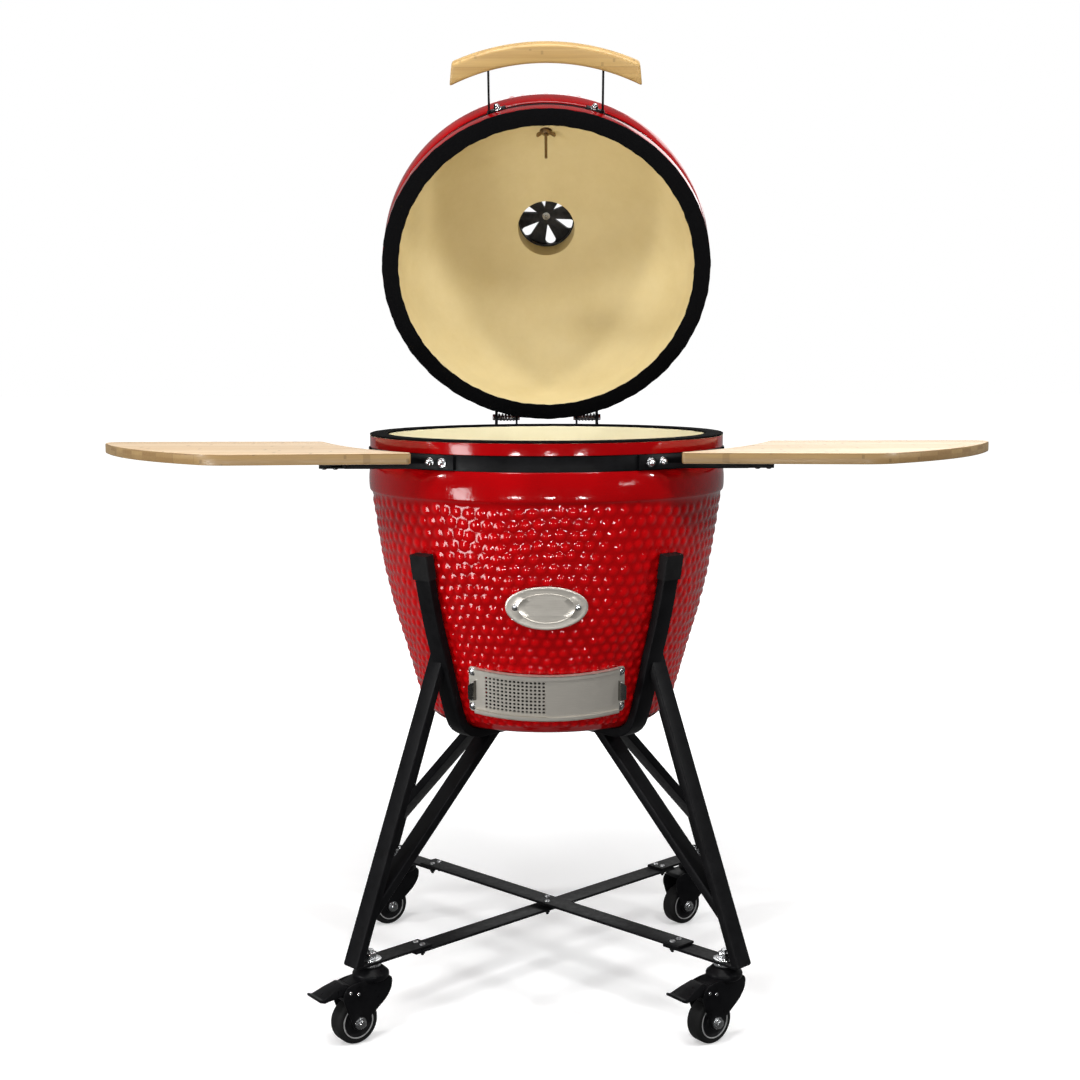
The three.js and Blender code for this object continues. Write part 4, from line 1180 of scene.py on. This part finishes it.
def offset_side(distance, low_z, high_z):
    """The bowl's side between two heights, moved outwards."""
    curve = resampled(smooth_curve(BOWL_SIDE, 12), 6)
    keep = (curve[:, 1] > low_z) & (curve[:, 1] < high_z)
    return (curve + outward(curve) * distance)[keep].tolist()


def leg(corner, sx, sy):
    """A cradle arm under the bowl, a leg tube, a long strut and a foot plate, welded into one."""
    azimuth = math.atan2(sy * math.cos(math.radians(42.5)), sx * math.sin(math.radians(42.5)))
    far = CRADLE_ROOM + BAR_T
    inner = [(100, 425.4), (160, 425.9)] + offset_side(CRADLE_ROOM, 430, 694)
    outer = [(100, 412), (164, 412.4)] + offset_side(far, 430, 694)
    parts = [cradle_strip(inner, outer, BAR_W / 2, 2.2, azimuth)]
    for start, end, width, thick, corner_r in (
        ((157, 158, 540), (277, 277, 113), BAR_W, BAR_T, 2.6),
        ((83.4, 83.4, 417.9), (257.2, 257.2, 183.3), BAR_W, BAR_T, 2.6),
        ((182, 182, PLATE_Z), (279, 279, PLATE_Z), 33, PLATE_TOP - PLATE_FOOT, 1.2),
    ):
        start, end = [(x * sx, y * sy, z) for x, y, z in (start, end)]
        parts.append(straight_bar(start, end, width, thick, corner_r))
    clear_of_bowl(parts[1], CRADLE_ROOM + 1)
    put("leg_frame_" + corner, joined(*parts), STAND, "body", COAT, ("leg_" + corner,))
    cap = offset_side(CRADLE_ROOM - 0.2, 659, 699), offset_side(far + 2.4, 659, 699)
    put("leg_cap_" + corner, cradle_strip(*cap, 17.8, 3.0, azimuth), STAND, "body", CAP)
    nut = joined(washer(16, 1.8), turned(hex_nut(9.4, 5), (0, 0, 1.5)), rod(0, 15, -8.6, -4.3, 0.8, 36))
    put("stem_nut_" + corner, nut, moved((sx * CASTER_XY, sy * CASTER_XY, PLATE_TOP)), "body", ZINC)
    # two bars cross, so one pair of legs has its bar on the foot plates and the other has it under them
    top, bottom = (CROSS_TOP, PLATE_FOOT) if sx * sy < 0 else (PLATE_TOP, CROSS_FOOT)
    for k, across in enumerate((-5.25, 5.25)):
        x, y = sx * (BAR_BOLT_XY + across), sy * (BAR_BOLT_XY - across)
        put(f"bar_bolt_{corner}_{k}", button_head(4.4), moved((x, y, top)), "body", DULL_ZINC)
        put(f"bar_nut_{corner}_{k}", hex_nut(4.6, 3.5), moved((x, y, bottom), FLIP), "body", CAP)


def caster(corner, sx, sy):
    at = moved((sx * CASTER_XY, sy * CASTER_XY, 0), ("Z", TRAIL_ANGLE))
    wheel_at = moved((TRAIL, 0, WHEEL_R), LIE, start=at)
    fork, wheel = "swivel_" + corner, "roller_" + corner
    race = [(0, 88), (22, 88), (26.5, 92), (26.5, 98), (23, 101), (17, 106.4), (0, 106.4)]
    cheek = [(-23, 92), (-25.5, 86), (-24, 74), (-15, 60), (5, 44), (16, 36), (18, 27), (24, 22.5),
             (33, 22.5), (39, 27), (41, 36), (50, 56), (55.5, 74), (53, 84), (44, 90), (26, 93)]
    crown = [(-23, 84), (-25, 89), (-20, 93.5), (20, 94), (46, 88.5), (51, 84), (30, 86), (0, 88.5),
             (-16, 87)]
    parts = [lathe(rounded(race, [0, 1, 2, 1.5, 2, 1.5, 0]), 72), upright(crown, 3, 18, 1.2)]
    parts += [turned(upright(cheek, 8, 1.6, 0.7, 4), (0, y, 0)) for y in (-17, 17)]
    put("fork_body_" + corner, joined(*parts), at, fork, CASTER, ("fork_" + corner,))
    tread = [(24.5, -13), (29.5, -13), (WHEEL_R, -9.5), (WHEEL_R, 9.5), (29.5, 13), (24.5, 13)]
    tyre = lathe(rounded(tread, [0.6, 3, 4, 4, 3, 0.6], 5))
    put("tyre_" + corner, tyre, wheel_at, wheel, RUBBER, ("wheel_" + corner,))
    hub = [(5.3, -11), (10, -11.5), (12, -9.5), (20, -9.5), (22.2, -12.2), (24.6, -12.2)]
    hub += [(r, -z) for r, z in hub[::-1]]
    put("hub_" + corner, lathe(rounded(hub, 0.9), 72), wheel_at, wheel, HUB)
    for sign, label in ((-1, "a"), (1, "b")):
        line = [(22.6, sign * 12.1), (24.4, sign * 12.1), (24.2, sign * 13.2), (22.9, sign * 13.2)]
        put(f"hub_ring_{label}_{corner}", lathe(rounded(line, 0.3), 72), wheel_at, wheel, RING)
    axle = [rod(0, 4.8, -26.5, 26, 0.6),
            turned(hexagon(7.4, 5), (0, 0, 19.6)), turned(washer(9), (0, 0, 18.7)),
            turned(hexagon(7.4, 5), (0, 0, -24.6)), turned(washer(9), (0, 0, -20.1))]
    put("axle_bolt_" + corner, joined(*axle), wheel_at, fork, ZINC, ("axle_" + corner,))
    if sy < 0:
        brake(corner, at)


def brake(corner, at):
    """A pedal that widens and droops at its sides towards its end, and the rivets it turns between."""
    outline = [(33, 79), (38, 88), (52, 93.5), (70, 88), (87, 82.5), (94.5, 85), (94, 80.5), (84, 76.5),
               (60, 77), (52, 73), (50, 66), (44, 64), (41, 70)]
    pedal = upright(outline, 2, 12.5, 0.9)
    for v in pedal.verts:
        if v.co.x > 55:
            share = min(1, (v.co.x - 55) / 32)
            v.co.y *= 1 + 0.45 * share
            v.co.z -= 3.0 * (abs(v.co.y) / 18) ** 2 * share
    put("pedal_" + corner, pedal, at, "pedal_" + corner, CASTER, ("brake_" + corner,))
    for k, (x, z) in enumerate(((31, 76), (44, 80))):
        for sign, label in ((-1, "a"), (1, "b")):
            place = at @ aimed((x, sign * 18.5, z), (0, sign, 0))
            put(f"fork_rivet_{corner}_{k}_{label}", rivet(2.8), place, "swivel_" + corner, ZINC)


for corner, sx, sy in CASTERS:
    leg(corner, sx, sy)
    caster(corner, sx, sy)
put_refined("cross_bar_upper", "body", 0.8)
put_refined("cross_bar_lower", "body", 0.8)
for k, y in enumerate((-12, 12)):
    put(f"cross_bolt_{k}", button_head(4.4), moved((0, y, CROSS_TOP)), "body", DULL_ZINC)
    put(f"cross_nut_{k}", hex_nut(4.6, 4), moved((0, y, CROSS_FOOT), FLIP), "body", CAP)

# ---- Floor, light and camera ----


def floor_material():
    """Pale, and as bright as the background far from the object, so that no horizon shows."""
    made = new_material("pale_floor", (0.86, 0.86, 0.86), 0.9, Specular_IOR_Level=0.0,
                        Emission_Color=(1, 1, 1, 1))
    tree = made.node_tree
    far = add_node(tree, "ShaderNodeVectorMath", operation="LENGTH")
    tree.links.new(position(made), far.inputs[0])
    fade = remapped(tree, far.outputs["Value"], (0.5, 2.6), (0.3, 1.0), interpolation_type="SMOOTHSTEP")
    drive(made, "Emission Strength", fade)
    return made


def surroundings():
    """White to the camera. To everything else it is bright behind the object and dim in front of it."""
    world = bpy.data.worlds.new("studio")
    bpy.context.scene.world = world
    world.use_nodes = True
    tree = world.node_tree
    sky = tree.nodes["Background"]
    seen = add_node(tree, "ShaderNodeBackground", Strength=1.0)
    for shader in (sky, seen):
        shader.inputs["Color"].default_value = (1, 1, 1, 1)
    depth = split_up(tree, add_node(tree, "ShaderNodeTexCoord").outputs["Generated"])["Y"]
    light = remapped(tree, depth, (-0.35, 0.6), (FRONT_LIGHT, BACK_LIGHT), interpolation_type="SMOOTHSTEP")
    tree.links.new(light, sky.inputs["Strength"])
    mix = add_node(tree, "ShaderNodeMixShader")
    tree.links.new(add_node(tree, "ShaderNodeLightPath").outputs["Is Camera Ray"], mix.inputs["Fac"])
    tree.links.new(sky.outputs[0], mix.inputs[1])
    tree.links.new(seen.outputs[0], mix.inputs[2])
    tree.links.new(mix.outputs[0], tree.nodes["World Output"].inputs["Surface"])


def softbox(name, at, towards, size, power):
    light = bpy.data.lights.new(name, "AREA")
    light.shape = "RECTANGLE"
    light.size, light.size_y = size
    light.energy = power
    obj = added(name, light)
    obj.location = at
    obj.rotation_euler = (Vector(towards) - Vector(at)).to_track_quat("-Z", "Y").to_euler()
    obj.visible_camera = False


def studio():
    """A floor that only catches shadows, the surroundings and the lights. Metres and watts."""
    made = bmesh.new()
    bmesh.ops.create_grid(made, x_segments=1, y_segments=1, size=30)
    mesh = bpy.data.meshes.new("floor")
    made.to_mesh(mesh)
    made.free()
    mesh.materials.append(floor_material())
    floor = added("floor", mesh)
    floor.visible_glossy = False
    floor.visible_diffuse = False
    surroundings()
    for light in (
        ("strip_left", (-1.5, -1.25, 0.36), (0, -0.2, 0.62), (0.4, 0.7), 15),
        ("streak_right", (1.9, -1.7, 0.95), (0, -0.1, 0.8), (0.35, 0.12), 2),
        ("key_left", (-0.9, -2.2, 3.0), (0, 0, 0.75), (0.44, 0.44), 32),
        ("key_right", (1.2, -2.0, 3.0), (0, 0, 0.75), (0.4, 0.4), 28),
        ("sparkle_left", (-0.9, -2.7, 0.14), (0, 0, 0.65), (0.18, 0.18), 10),
        ("sparkle_middle", (0.12, -3.0, 0.12), (0, 0, 0.65), (0.16, 0.16), 8),
        ("sparkle_right", (0.95, -2.6, 0.18), (0, 0, 0.65), (0.18, 0.18), 10),
        ("sparkle_far_left", (-2.3, -0.9, 1.5), (0, 0, 0.7), (0.2, 0.2), 19),
        ("sparkle_far_right", (2.3, -0.9, 1.5), (0, 0, 0.7), (0.2, 0.2), 19),
        ("overhead", (0, -0.5, 3.1), (0, 0, 0.8), (2.0, 1.6), 51),
        ("back_fill", (0.6, 2.9, 2.2), (0, 0, 0.7), (2.4, 1.4), 20),
    ):
        softbox(*light)


def camera():
    yaw, pitch, roll = -0.0048775, 0.1143086, -0.0024381
    data = bpy.data.cameras.new("camera")
    data.sensor_width = 36
    data.lens = 56.784
    obj = added("camera", data)
    turn = (("Z", -yaw), ("X", math.pi / 2 - pitch), ("Z", roll))
    obj.matrix_world = moved((0.00253, -2.70614, 0.99454), *turn, start=Matrix.Identity(4))
    bpy.context.scene.camera = obj


studio()
camera()
bpy.context.scene.view_settings.view_transform = "Standard"
